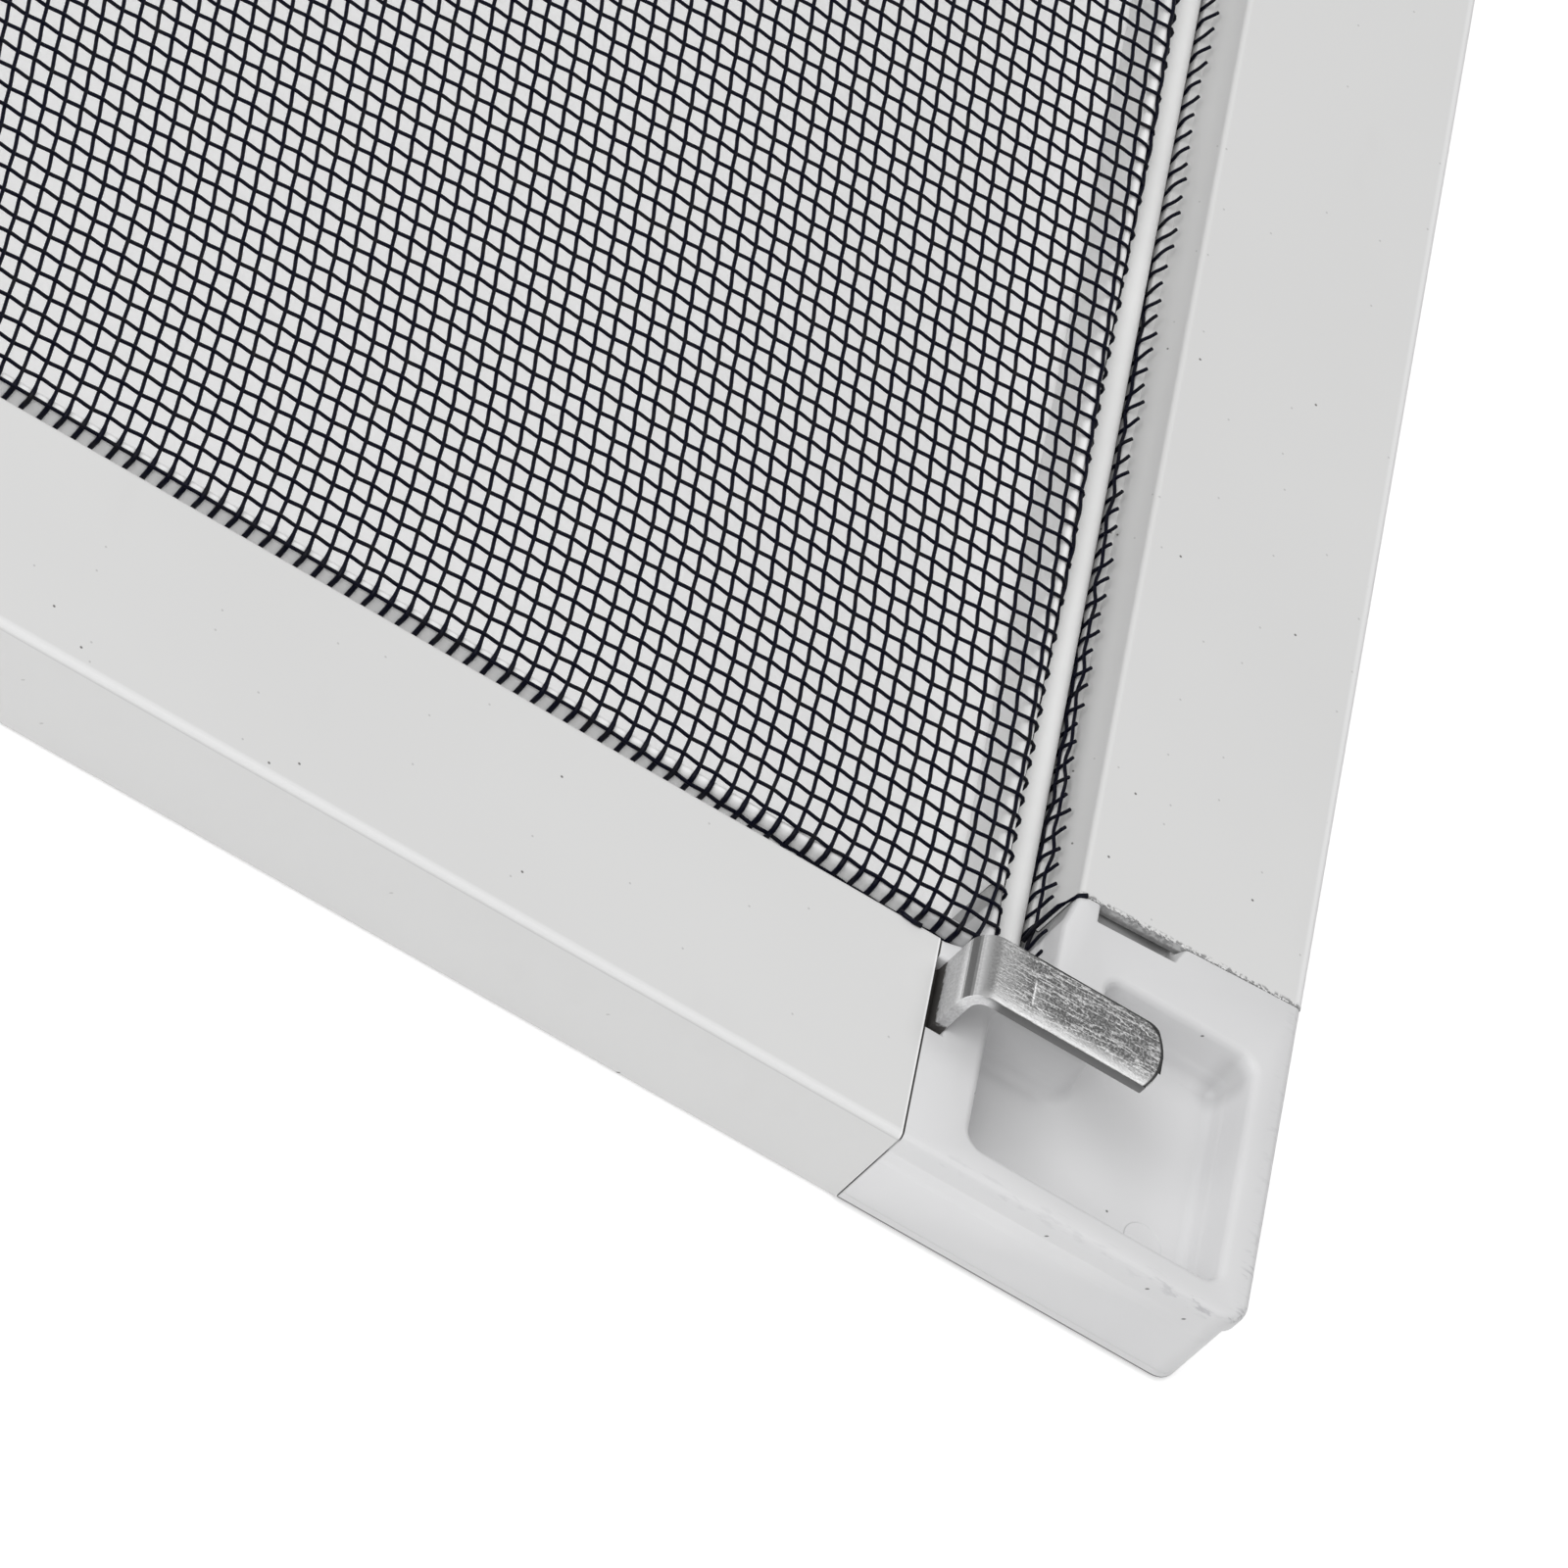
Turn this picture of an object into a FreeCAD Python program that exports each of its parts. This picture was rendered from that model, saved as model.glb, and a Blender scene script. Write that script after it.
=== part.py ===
"""Aluminium window insect-screen frame, lying face up.

Four hollow rails plug onto four moulded corner connectors.  A woven mesh is pressed into a groove
along the inner side of the rails by a round spline, and a bent steel hook hangs each corner in the
window.  Millimetres; X along the bottom rail, Y along the side rails, +Z out of the front face; the
origin is in the middle of the frame, on the plane that the rails' backs lie on.
"""

import FreeCAD
import Part

import math
import os

Vector = FreeCAD.Vector

# Frame
FRAME_WIDTH = 500.0
FRAME_HEIGHT = 600.0

# Rail extrusion: a hollow box with a spline groove and a lip on its inner side
FACE_WIDTH = 19.0
RAIL_DEPTH = 8.5
RAIL_WALL = 1.0
RAIL_EDGE_RADIUS = 0.4
GROOVE_FLOOR = 1.0
GROOVE_CORNER_RADIUS = 0.2
LEDGE_WIDTH = 0.75
LEDGE_BELOW_FACE = 5.3
LIP_THICKNESS = 1.5
LIP_BELOW_FACE = 2.9
LIP_RADIUS = 0.7

# Spline and mesh
SPLINE_DIAMETER = 2.5
SPLINE_CLEARANCE = 0.03
MESH_THICKNESS = 0.3
MESH_CLEARANCE = 0.02
MESH_TAIL_ABOVE_LEDGE = 1.4
MESH_CORNER_RADIUS = 0.8
MESH_GAPS_X = 7
MESH_GAPS_Y = 9
MESH_BAR_WIDTH = 10.0
MESH_BORDER = 6.0
MESH_RIDGE_WIDTH = 4.0
MESH_RIDGE_HEIGHT = 0.3

# Corner connector
CORNER_REACH = 29.4
CORNER_RADIUS = 2.6
CORNER_EDGE_CHAMFER = 0.35
CORNER_BACK_GAP = 0.3
SHOULDER_START = 0.4
SHOULDER_RUN = 2.8
POCKET_DEPTH = 4.5
POCKET_OUTER_WALL = 2.8
POCKET_INNER_WALL = 3.5
POCKET_END_WALL = 5.4
POCKET_CORNER_RADIUS = 1.4
POCKET_DRAFT_DEGREES = 9.0
POCKET_RIM_CHAMFER = 0.35
LEG_LENGTH = 36.0
LEG_CLEARANCE = 0.1
LEG_TIP_CHAMFER = 1.5
LEG_CORE_WALL = 2.0
LEG_CORE_DEPTH = 3.2
LEG_CORE_RIB = 2.0
LEG_CORE_CELLS = 3

# Hook strip
HOOK_WIDTH = 6.3
HOOK_THICKNESS = 0.9
HOOK_HEIGHT = 5.0
HOOK_REACH = 16.2
HOOK_FROM_FACE_EDGE = 1.95
HOOK_FROM_RAIL_END = 0.7
HOOK_BEND_RADIUS = 1.0
HOOK_TAIL_BEND_RADIUS = 0.4
HOOK_TAIL_LENGTH = 14.0
HOOK_TIP_BULGE = 1.0
HOOK_TIP_CORNER_RADIUS = 1.0
HOOK_CLEARANCE = 0.05
NOTCH_SIDE_CLEARANCE = 0.15

# Places that follow from the sizes above, measured inwards from a rail's outer side
GROOVE_WIDTH = SPLINE_DIAMETER + 2 * (MESH_THICKNESS + SPLINE_CLEARANCE)
LEDGE_EDGE = FACE_WIDTH + LEDGE_WIDTH
LIP_START = LEDGE_EDGE + GROOVE_WIDTH
LIP_END = LIP_START + LIP_THICKNESS
SPLINE_PLACE = LEDGE_EDGE + GROOVE_WIDTH / 2
SPLINE_Z = GROOVE_FLOOR + MESH_THICKNESS + SPLINE_CLEARANCE + SPLINE_DIAMETER / 2
LEDGE_Z = RAIL_DEPTH - LEDGE_BELOW_FACE
LIP_TOP = RAIL_DEPTH - LIP_BELOW_FACE
POCKET_FLOOR_Z = RAIL_DEPTH - POCKET_DEPTH
RIDGE_OVERLAP = MESH_THICKNESS / 2

# Places along a rail's end, measured from the cut towards the corner
HOOK_RISER_END = HOOK_FROM_RAIL_END + HOOK_THICKNESS
NOTCH_DEPTH = HOOK_RISER_END + HOOK_CLEARANCE
HOOK_TAIL_TOP = RAIL_DEPTH - RAIL_WALL - HOOK_CLEARANCE
HOOK_TAIL_BOTTOM = HOOK_TAIL_TOP - HOOK_THICKNESS
NOTCH_FLOOR = HOOK_TAIL_BOTTOM - HOOK_CLEARANCE
HOOK_OUTER_SIDE = FACE_WIDTH - HOOK_FROM_FACE_EDGE - HOOK_WIDTH
HOOK_TOP = RAIL_DEPTH + HOOK_HEIGHT

# Two places closer than this are the same place
SAME_PLACE = 0.001


def rounded_wire(corners):
    """Closed wire in the XY plane through (x, y, radius) corners, each rounded by a tangent arc."""
    count = len(corners)
    starts = []
    ends = []
    edges = []
    for index, (x, y, radius) in enumerate(corners):
        here = Vector(x, y, 0)
        before = Vector(*corners[index - 1][:2], 0)
        after = Vector(*corners[(index + 1) % count][:2], 0)
        to_before = (before - here).normalize()
        to_after = (after - here).normalize()
        half_turn = to_before.getAngle(to_after) / 2
        reach = radius / math.tan(half_turn)
        arc_start = here + to_before * reach
        arc_end = here + to_after * reach
        starts.append(arc_start)
        ends.append(arc_end)
        if radius > 0:
            inwards = (to_before + to_after).normalize()
            middle = here + inwards * (radius / math.sin(half_turn) - radius)
            edges.append(Part.Arc(arc_start, middle, arc_end).toShape())
    for index in range(count):
        edges.append(Part.makeLine(ends[index - 1], starts[index]))
    return Part.Wire(Part.__sortEdges__(edges))


def prism(corners, low, high):
    """Solid between two heights over a rounded outline."""
    face = Part.Face(rounded_wire(corners))
    face.translate(Vector(0, 0, low))
    return face.extrude(Vector(0, 0, high - low))


def box(low, high):
    """Axis-aligned block between two corner points."""
    size = Vector(*high) - Vector(*low)
    return Part.makeBox(size.x, size.y, size.z, Vector(*low))


def stood_along_x(face, start, length):
    """Extrude a section drawn as (inwards, up) along +X from a start place."""
    face.rotate(Vector(0, 0, 0), Vector(1, 1, 1), 120)
    face.translate(Vector(start, 0, 0))
    return face.extrude(Vector(length, 0, 0))


def l_corners(near, far, end, near_radius, far_radius):
    """Outline of an L about the frame's inner corner, between two distances from the outer sides."""
    return [
        (near, near, near_radius),
        (end, near, 0),
        (end, far, 0),
        (far, far, far_radius),
        (far, end, 0),
        (near, end, 0),
    ]


def edges_where(shape, test):
    """Edges of a shape whose middle point passes a test."""
    chosen = []
    for edge in shape.Edges:
        middle = edge.valueAt((edge.FirstParameter + edge.LastParameter) / 2)
        if test(edge, middle):
            chosen.append(edge)
    return chosen


def lies_level(edge, height):
    """True for an edge that lies wholly at one height."""
    bounds = edge.BoundBox
    return abs(bounds.ZMin - height) < SAME_PLACE and abs(bounds.ZMax - height) < SAME_PLACE


def rail(length):
    """Extruded rail along +X, its outer side on Y = 0 and its middle on X = 0."""
    outline = rounded_wire([
        (0, 0, RAIL_EDGE_RADIUS),
        (0, RAIL_DEPTH, RAIL_EDGE_RADIUS),
        (FACE_WIDTH, RAIL_DEPTH, RAIL_EDGE_RADIUS),
        (FACE_WIDTH, LEDGE_Z, 0),
        (LEDGE_EDGE, LEDGE_Z, GROOVE_CORNER_RADIUS),
        (LEDGE_EDGE, GROOVE_FLOOR, 0),
        (LIP_START, GROOVE_FLOOR, 0),
        (LIP_START, LIP_TOP, LIP_RADIUS),
        (LIP_END, LIP_TOP, LIP_RADIUS),
        (LIP_END, 0, GROOVE_CORNER_RADIUS),
    ])
    chamber = rounded_wire([
        (RAIL_WALL, RAIL_WALL, 0),
        (FACE_WIDTH - RAIL_WALL, RAIL_WALL, 0),
        (FACE_WIDTH - RAIL_WALL, RAIL_DEPTH - RAIL_WALL, 0),
        (RAIL_WALL, RAIL_DEPTH - RAIL_WALL, 0),
    ])
    section = Part.Face(outline).cut(Part.Face(chamber)).Faces[0]
    return stood_along_x(section, -length / 2, length)


def pocket_outline(shrink, height):
    """L-shaped outline of the connector's pocket at one height, drawn in by its draft."""
    outer = POCKET_OUTER_WALL + shrink
    inner = FACE_WIDTH - POCKET_INNER_WALL - shrink
    end = CORNER_REACH - POCKET_END_WALL - shrink
    hollow_radius = POCKET_CORNER_RADIUS - shrink
    nose_radius = POCKET_CORNER_RADIUS + shrink
    wire = rounded_wire([
        (outer, outer, hollow_radius),
        (end, outer, hollow_radius),
        (end, inner, hollow_radius),
        (inner, inner, nose_radius),
        (inner, end, hollow_radius),
        (outer, end, hollow_radius),
    ])
    wire.translate(Vector(0, 0, height))
    return wire


def connector_leg():
    """Leg that plugs into a rail along +X, hollowed from the back, with room for the hook's tail."""
    low = RAIL_WALL + LEG_CLEARANCE
    side = FACE_WIDTH - RAIL_WALL - LEG_CLEARANCE
    top = RAIL_DEPTH - RAIL_WALL - LEG_CLEARANCE
    tip = CORNER_REACH + LEG_LENGTH
    plan = [
        (CORNER_REACH, low, 0),
        (tip - LEG_TIP_CHAMFER, low, 0),
        (tip, low + LEG_TIP_CHAMFER, 0),
        (tip, side - LEG_TIP_CHAMFER, 0),
        (tip - LEG_TIP_CHAMFER, side, 0),
        (CORNER_REACH, side, 0),
    ]
    leg = prism(plan, low, top)
    core_start = CORNER_REACH + LEG_CORE_WALL
    core_end = tip - LEG_TIP_CHAMFER - LEG_CORE_WALL
    cell = (core_end - core_start + LEG_CORE_RIB) / LEG_CORE_CELLS
    for index in range(LEG_CORE_CELLS):
        start = core_start + index * cell
        core = box(
            (start, low + LEG_CORE_WALL, low),
            (start + cell - LEG_CORE_RIB, side - LEG_CORE_WALL, low + LEG_CORE_DEPTH),
        )
        leg = leg.cut(core)
    return leg


def hook_room():
    """Space in the connector's +X arm for a hook: the notch in its end and the slot along its leg."""
    outer = HOOK_OUTER_SIDE - NOTCH_SIDE_CLEARANCE
    inner = HOOK_OUTER_SIDE + HOOK_WIDTH + NOTCH_SIDE_CLEARANCE
    notch = box((CORNER_REACH - NOTCH_DEPTH, outer, NOTCH_FLOOR), (CORNER_REACH, inner, RAIL_DEPTH))
    slot_end = CORNER_REACH + HOOK_TAIL_LENGTH + HOOK_CLEARANCE
    slot = box((CORNER_REACH, outer, NOTCH_FLOOR), (slot_end, inner, RAIL_DEPTH - RAIL_WALL))
    return notch.fuse(slot)


def swapped(shape):
    """Mirror image of a shape about the corner's diagonal, X for Y."""
    return shape.mirror(Vector(0, 0, 0), Vector(1, -1, 0))


def connector():
    """Corner connector with its outer corner on the origin and its arms along +X and +Y."""
    reach = CORNER_REACH
    shoulder_start = reach - SHOULDER_START
    shoulder_end = shoulder_start - SHOULDER_RUN
    block = prism([
        (0, 0, CORNER_RADIUS),
        (reach, 0, 0),
        (reach, FACE_WIDTH, 0),
        (shoulder_start, FACE_WIDTH, 0),
        (shoulder_end, LEDGE_EDGE, 0),
        (LEDGE_EDGE, LEDGE_EDGE, 0),
        (LEDGE_EDGE, shoulder_end, 0),
        (FACE_WIDTH, shoulder_start, 0),
        (FACE_WIDTH, reach, 0),
        (0, reach, 0),
    ], CORNER_BACK_GAP, RAIL_DEPTH)
    block = block.makeChamfer(CORNER_EDGE_CHAMFER, edges_where(block, lambda edge, middle: (
        lies_level(edge, RAIL_DEPTH) and max(middle.x, middle.y) < reach - SAME_PLACE)))

    lip = prism(
        l_corners(LIP_START, LIP_END, reach, MESH_CORNER_RADIUS, 0), CORNER_BACK_GAP, LIP_TOP)
    lip = lip.makeFillet(LIP_RADIUS, edges_where(lip, lambda edge, middle: (
        lies_level(edge, LIP_TOP) and max(middle.x, middle.y) < reach - SAME_PLACE)))
    floor = prism(l_corners(FACE_WIDTH - RAIL_WALL, LIP_END, reach, 0, 0), CORNER_BACK_GAP, GROOVE_FLOOR)
    ledge = prism(l_corners(FACE_WIDTH - RAIL_WALL, LEDGE_EDGE, reach, 0, 0), CORNER_BACK_GAP, LEDGE_Z)
    body = block.fuse([floor, ledge, lip])

    draft = POCKET_DEPTH * math.tan(math.radians(POCKET_DRAFT_DEGREES))
    pocket = Part.makeLoft(
        [pocket_outline(draft, POCKET_FLOOR_Z), pocket_outline(0, RAIL_DEPTH)], True, True)
    body = body.cut(pocket)
    pocket_side = FACE_WIDTH - POCKET_INNER_WALL / 2
    body = body.makeChamfer(POCKET_RIM_CHAMFER, edges_where(body, lambda edge, middle: (
        lies_level(edge, RAIL_DEPTH)
        and POCKET_OUTER_WALL / 2 < min(middle.x, middle.y) < pocket_side
        and max(middle.x, middle.y) < reach - POCKET_END_WALL / 2)))

    leg = connector_leg()
    room = hook_room()
    body = body.fuse([leg, swapped(leg)])
    body = body.cut([room, swapped(room)])
    return body.removeSplitter().Solids[0]


def hook():
    """Hook strip along X at a rail's end: X = 0 is the rail's cut, +X runs towards the corner."""
    outer_bend = HOOK_BEND_RADIUS + HOOK_THICKNESS
    outer_tail_bend = HOOK_TAIL_BEND_RADIUS + HOOK_THICKNESS
    side_view = rounded_wire([
        (HOOK_REACH, HOOK_TOP, 0),
        (HOOK_FROM_RAIL_END, HOOK_TOP, outer_bend),
        (HOOK_FROM_RAIL_END, HOOK_TAIL_TOP, HOOK_TAIL_BEND_RADIUS),
        (-HOOK_TAIL_LENGTH, HOOK_TAIL_TOP, 0),
        (-HOOK_TAIL_LENGTH, HOOK_TAIL_BOTTOM, 0),
        (HOOK_RISER_END, HOOK_TAIL_BOTTOM, outer_tail_bend),
        (HOOK_RISER_END, HOOK_TOP - HOOK_THICKNESS, HOOK_BEND_RADIUS),
        (HOOK_REACH, HOOK_TOP - HOOK_THICKNESS, 0),
    ])
    section = Part.Face(side_view)
    section.rotate(Vector(0, 0, 0), Vector(1, 0, 0), 90)
    section.translate(Vector(0, HOOK_WIDTH / 2, 0))
    strip = section.extrude(Vector(0, -HOOK_WIDTH, 0))

    half = HOOK_WIDTH / 2
    shoulder = HOOK_REACH - HOOK_TIP_BULGE
    tip_arc = Part.Arc(
        Vector(shoulder, -half, 0), Vector(HOOK_REACH, 0, 0), Vector(shoulder, half, 0)).toShape()
    back = -HOOK_TAIL_LENGTH
    straight_sides = Part.makePolygon([
        Vector(shoulder, half, 0),
        Vector(back, half, 0),
        Vector(back, -half, 0),
        Vector(shoulder, -half, 0),
    ])
    plan = Part.Face(Part.Wire(straight_sides.Edges + [tip_arc]))
    plan_solid = plan.extrude(Vector(0, 0, HOOK_TOP))
    tip_corners = edges_where(plan_solid, lambda edge, middle: (
        abs(middle.x - shoulder) < SAME_PLACE and edge.BoundBox.ZLength > HOOK_HEIGHT))
    return strip.common(plan_solid.makeFillet(HOOK_TIP_CORNER_RADIUS, tip_corners))


def rectangle(inset, radius):
    """Rounded rectangle at one distance in from the frame's outer sides."""
    x = FRAME_WIDTH / 2 - inset
    y = FRAME_HEIGHT / 2 - inset
    return [(-x, -y, radius), (x, -y, radius), (x, y, radius), (-x, y, radius)]


def ring(outside, inside, low, high):
    """Rectangular band between two distances in from the frame's outer sides."""
    return prism(rectangle(outside, 0), low, high).cut(prism(rectangle(inside, 0), low, high))


def mesh_gaps(first_x, first_y, pitch_x, pitch_y):
    """Openings through the mesh between its bars, as one compound."""
    gaps = []
    for column in range(MESH_GAPS_X):
        for row in range(MESH_GAPS_Y):
            left = first_x + column * pitch_x
            front = first_y + row * pitch_y
            gaps.append(box(
                (left, front, 0),
                (left + pitch_x - MESH_BAR_WIDTH, front + pitch_y - MESH_BAR_WIDTH, RAIL_DEPTH),
            ))
    return Part.makeCompound(gaps)


def mesh():
    """Mesh sheet over the lips, its edges folded into the groove, drawn as a coarse open weave."""
    top = LIP_TOP + MESH_CLEARANCE + MESH_THICKNESS
    bottom = GROOVE_FLOOR + MESH_CLEARANCE
    skirt = LIP_START - MESH_CLEARANCE - MESH_THICKNESS
    cover = prism(rectangle(skirt, MESH_CORNER_RADIUS + MESH_THICKNESS), bottom, top)
    cover = cover.makeFillet(LIP_RADIUS + MESH_THICKNESS, edges_where(
        cover, lambda edge, middle: lies_level(edge, top)))
    under = prism(rectangle(skirt + MESH_THICKNESS, MESH_CORNER_RADIUS), 0, top - MESH_THICKNESS)
    under = under.makeFillet(LIP_RADIUS, edges_where(
        under, lambda edge, middle: lies_level(edge, top - MESH_THICKNESS)))
    sheet = cover.cut(under)

    tail = LEDGE_EDGE + MESH_CLEARANCE
    fold = ring(tail, skirt + MESH_THICKNESS / 2, bottom, bottom + MESH_THICKNESS)
    fold = fold.cut(prism(rectangle(skirt + MESH_THICKNESS, MESH_CORNER_RADIUS), bottom, top))
    upstand = ring(tail, tail + MESH_THICKNESS, bottom, LEDGE_Z + MESH_TAIL_ABOVE_LEDGE)

    left = -FRAME_WIDTH / 2 + LIP_END + MESH_BORDER
    front = -FRAME_HEIGHT / 2 + LIP_END + MESH_BORDER
    pitch_x = (-2 * left + MESH_BAR_WIDTH) / MESH_GAPS_X
    pitch_y = (-2 * front + MESH_BAR_WIDTH) / MESH_GAPS_Y
    sheet = sheet.cut(mesh_gaps(left, front, pitch_x, pitch_y))
    half_ridge = MESH_RIDGE_WIDTH / 2
    ridges = []
    for column in range(1, MESH_GAPS_X):
        x = left + column * pitch_x - MESH_BAR_WIDTH / 2
        ridges.append(box(
            (x - half_ridge, front, top - RIDGE_OVERLAP),
            (x + half_ridge, -front, top + MESH_RIDGE_HEIGHT),
        ))
    underside = top - MESH_THICKNESS
    for row in range(1, MESH_GAPS_Y):
        y = front + row * pitch_y - MESH_BAR_WIDTH / 2
        ridges.append(box(
            (left, y - half_ridge, underside - MESH_RIDGE_HEIGHT),
            (-left, y + half_ridge, underside + RIDGE_OVERLAP),
        ))
    return sheet.fuse([fold, upstand] + ridges).Solids[0]


def spline(length):
    """Round cord along X, its middle on X = 0."""
    return Part.makeCylinder(
        SPLINE_DIAMETER / 2, length, Vector(-length / 2, SPLINE_PLACE, SPLINE_Z), Vector(1, 0, 0))


def placed(shape, quarter_turns, x, y):
    """Copy of a shape turned about Z and moved."""
    copy = shape.copy()
    copy.rotate(Vector(0, 0, 0), Vector(0, 0, 1), 90 * quarter_turns)
    copy.translate(Vector(x, y, 0))
    return copy


def build():
    """All the pieces of the frame by name."""
    half_width = FRAME_WIDTH / 2
    half_height = FRAME_HEIGHT / 2
    flat_rail = rail(FRAME_WIDTH - 2 * CORNER_REACH)
    side_rail = rail(FRAME_HEIGHT - 2 * CORNER_REACH)
    side_end = LEDGE_EDGE + MESH_THICKNESS + SPLINE_CLEARANCE
    flat_end = SPLINE_PLACE + SPLINE_DIAMETER / 2 + SPLINE_CLEARANCE
    flat_spline = spline(FRAME_WIDTH - 2 * flat_end)
    side_spline = spline(FRAME_HEIGHT - 2 * side_end)
    corner = connector()
    strip = hook()

    sides = {
        "bottom": (0, 0, -half_height),
        "right": (1, half_width, 0),
        "top": (2, 0, half_height),
        "left": (3, -half_width, 0),
    }
    corners = {
        "bottom_left": (0, -half_width, -half_height),
        "bottom_right": (1, half_width, -half_height),
        "top_right": (2, half_width, half_height),
        "top_left": (3, -half_width, half_height),
    }
    pieces = {}
    for name, (turns, x, y) in sides.items():
        lengthwise = turns % 2 == 0
        pieces[name + "_rail"] = placed(flat_rail if lengthwise else side_rail, turns, x, y)
        pieces[name + "_spline"] = placed(flat_spline if lengthwise else side_spline, turns, x, y)
    for name, (turns, x, y) in corners.items():
        pieces[name + "_connector"] = placed(corner, turns, x, y)

    hook_x = half_width - CORNER_REACH
    hook_y = half_height - HOOK_OUTER_SIDE - HOOK_WIDTH / 2
    pieces["bottom_right_hook"] = placed(strip, 0, hook_x, -hook_y)
    pieces["top_right_hook"] = placed(strip, 0, hook_x, hook_y)
    pieces["bottom_left_hook"] = placed(strip, 2, -hook_x, -hook_y)
    pieces["top_left_hook"] = placed(strip, 2, -hook_x, hook_y)
    pieces["insect_mesh"] = mesh()
    return pieces


os.makedirs("parts", exist_ok=True)
for piece_name, piece in build().items():
    piece.exportStep("parts/" + piece_name + ".step")
    print(piece_name, "solids", len(piece.Solids), "valid", piece.isValid(), "volume", round(piece.Volume, 1))
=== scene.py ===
"""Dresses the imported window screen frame: white rails and corners, a woven mesh and bent steel hooks."""

import math
import random

import bmesh
import bpy
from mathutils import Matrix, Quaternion, Vector


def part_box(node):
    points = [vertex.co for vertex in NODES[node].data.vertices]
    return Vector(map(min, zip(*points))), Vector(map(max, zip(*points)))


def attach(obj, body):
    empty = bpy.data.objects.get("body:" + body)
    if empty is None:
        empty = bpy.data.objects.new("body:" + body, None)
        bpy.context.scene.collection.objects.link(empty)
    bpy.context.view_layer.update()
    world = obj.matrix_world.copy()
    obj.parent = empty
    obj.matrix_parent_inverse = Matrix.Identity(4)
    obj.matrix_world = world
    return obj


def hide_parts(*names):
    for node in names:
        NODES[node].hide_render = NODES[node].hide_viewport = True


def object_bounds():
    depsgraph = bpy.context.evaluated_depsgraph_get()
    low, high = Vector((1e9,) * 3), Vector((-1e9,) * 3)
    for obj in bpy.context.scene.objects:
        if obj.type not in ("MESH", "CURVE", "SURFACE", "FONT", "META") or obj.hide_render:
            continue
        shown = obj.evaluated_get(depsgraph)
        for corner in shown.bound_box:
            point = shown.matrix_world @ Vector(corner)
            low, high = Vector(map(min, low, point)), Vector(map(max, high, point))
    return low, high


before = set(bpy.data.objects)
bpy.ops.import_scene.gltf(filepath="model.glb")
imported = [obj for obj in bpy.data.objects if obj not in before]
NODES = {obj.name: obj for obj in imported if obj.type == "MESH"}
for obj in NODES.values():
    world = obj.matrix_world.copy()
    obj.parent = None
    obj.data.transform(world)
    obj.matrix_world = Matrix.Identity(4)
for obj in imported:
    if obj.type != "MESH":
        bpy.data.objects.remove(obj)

MM = 0.001
QUARTER = math.pi / 2
SIDES = ("bottom", "right", "top", "left")
CORNERS = ("bottom_left", "bottom_right", "top_right", "top_left")

cad_low, cad_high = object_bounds()

# Sizes of the part, in millimetres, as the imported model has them
HALF_WIDTH = cad_high.x / MM
HALF_HEIGHT = cad_high.y / MM
FACE_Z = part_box("bottom_rail")[1].z / MM
FACE_WIDTH = 19.0
LIP_TOP = 5.6
LIP_GROOVE_SIDE = 22.8
GROOVE_FLOOR = 1.0
LEDGE_EDGE = 19.75

# Camera, fitted to the photograph's rail edges and strand spacing
CAMERA_PLACE = (-105.91, -951.24, 660.03)
CAMERA_TARGET = (206.70, -275.72, FACE_Z)
CAMERA_ROLL = 46.947
SENSOR_WIDTH = 36.0
LENS = 328.2

# Light: an even white room, a soft key high above the frame and a soft fill from the camera's side
ROOM_LIGHT = 0.43
KEY_POWER = 2.3
KEY_SIZE = 0.6
KEY_PLACE = (0.62, 0.21, 1.19)
FILL_POWER = 18.7
FILL_SIZE = 1.5
FILL_PLACE = (-0.82, -0.88, 1.12)
LIGHT_TARGET = (0.2, -0.28, 0.0)
FLOOR_HEIGHT = -0.00025
FLOOR_HALF = (15, 15)
FLOOR_WHITE = 0.92
FLOOR_GLOW = 0.50
CARD_HALF = (0.24, 0.29)
CARD_WHITE = 0.88
CARD_GLOW = 0.27
CARD_RAIL_SHADOW_GLOW = 0.8
CARD_SHADE_X = (185, 226)

# Where the rails are really sawn off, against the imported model: the side ones short and on the slant
CORNER_REACH = 29.4
FLAT_CUT = HALF_WIDTH - CORNER_REACH
SIDE_CUT = HALF_HEIGHT - CORNER_REACH
FLAT_CUT_SHIFT = 0.33
SIDE_CUT_SHIFT = 0.35
SIDE_CUT_SLANT = 0.056
CUT_BLEND_START = 2.0
CUT_BLEND_END = 5.2
CUT_TOUCH = 0.01

# Lip: its groove side drawn in, so that the cord fills the groove as far as the mesh
LIP_MIDDLE = 24.0
LIP_THINNING = 0.47
LIP_FOOT = 0.2
LIP_CREST = 23.85
LIP_RADIUS = 0.45
CORD_WIDENING = 1.3

# Corner connectors: the seam left at each rail's cut, and the softened edges of the moulding
CORNER_RADIUS = 2.6
FLAT_SEAM = 0.12
SIDE_SEAM_INSIDE = 0.04
SIDE_SEAM_MIDDLE = 0.36
SIDE_SEAM_OUTSIDE = 0.08
NOTCH_OUTER_SIDE = 10.6
NOTCH_WIDTH = 7.0
NOTCH_DEPTH = 1.65
NOTCH_FLOOR = 6.5
NOTCH_RAMP = 1.0
NOTCH_SPLAY = 0.8
NOTCH_TOUCH = 0.02
NOTCH_FLOOR_RISE = 0.85
POCKET_FLOOR_Z = 4.0
POCKET_TOUCH = 0.05
POCKET_SOFTENING = 0.9
POCKET_STEPS = 6
EDGE_SOFTENING = 0.3
EDGE_STEPS = 3
SOFTENED_ABOVE = 1.2
SHARP_ANGLE = 20.0
SHADED_SHARP_ANGLE = 30.0
WELD_DISTANCE = 0.002
FLAT_ANGLE = 0.5
FLANGE_Z = 7.0
FLANGE_STEP = 0.2
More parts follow.
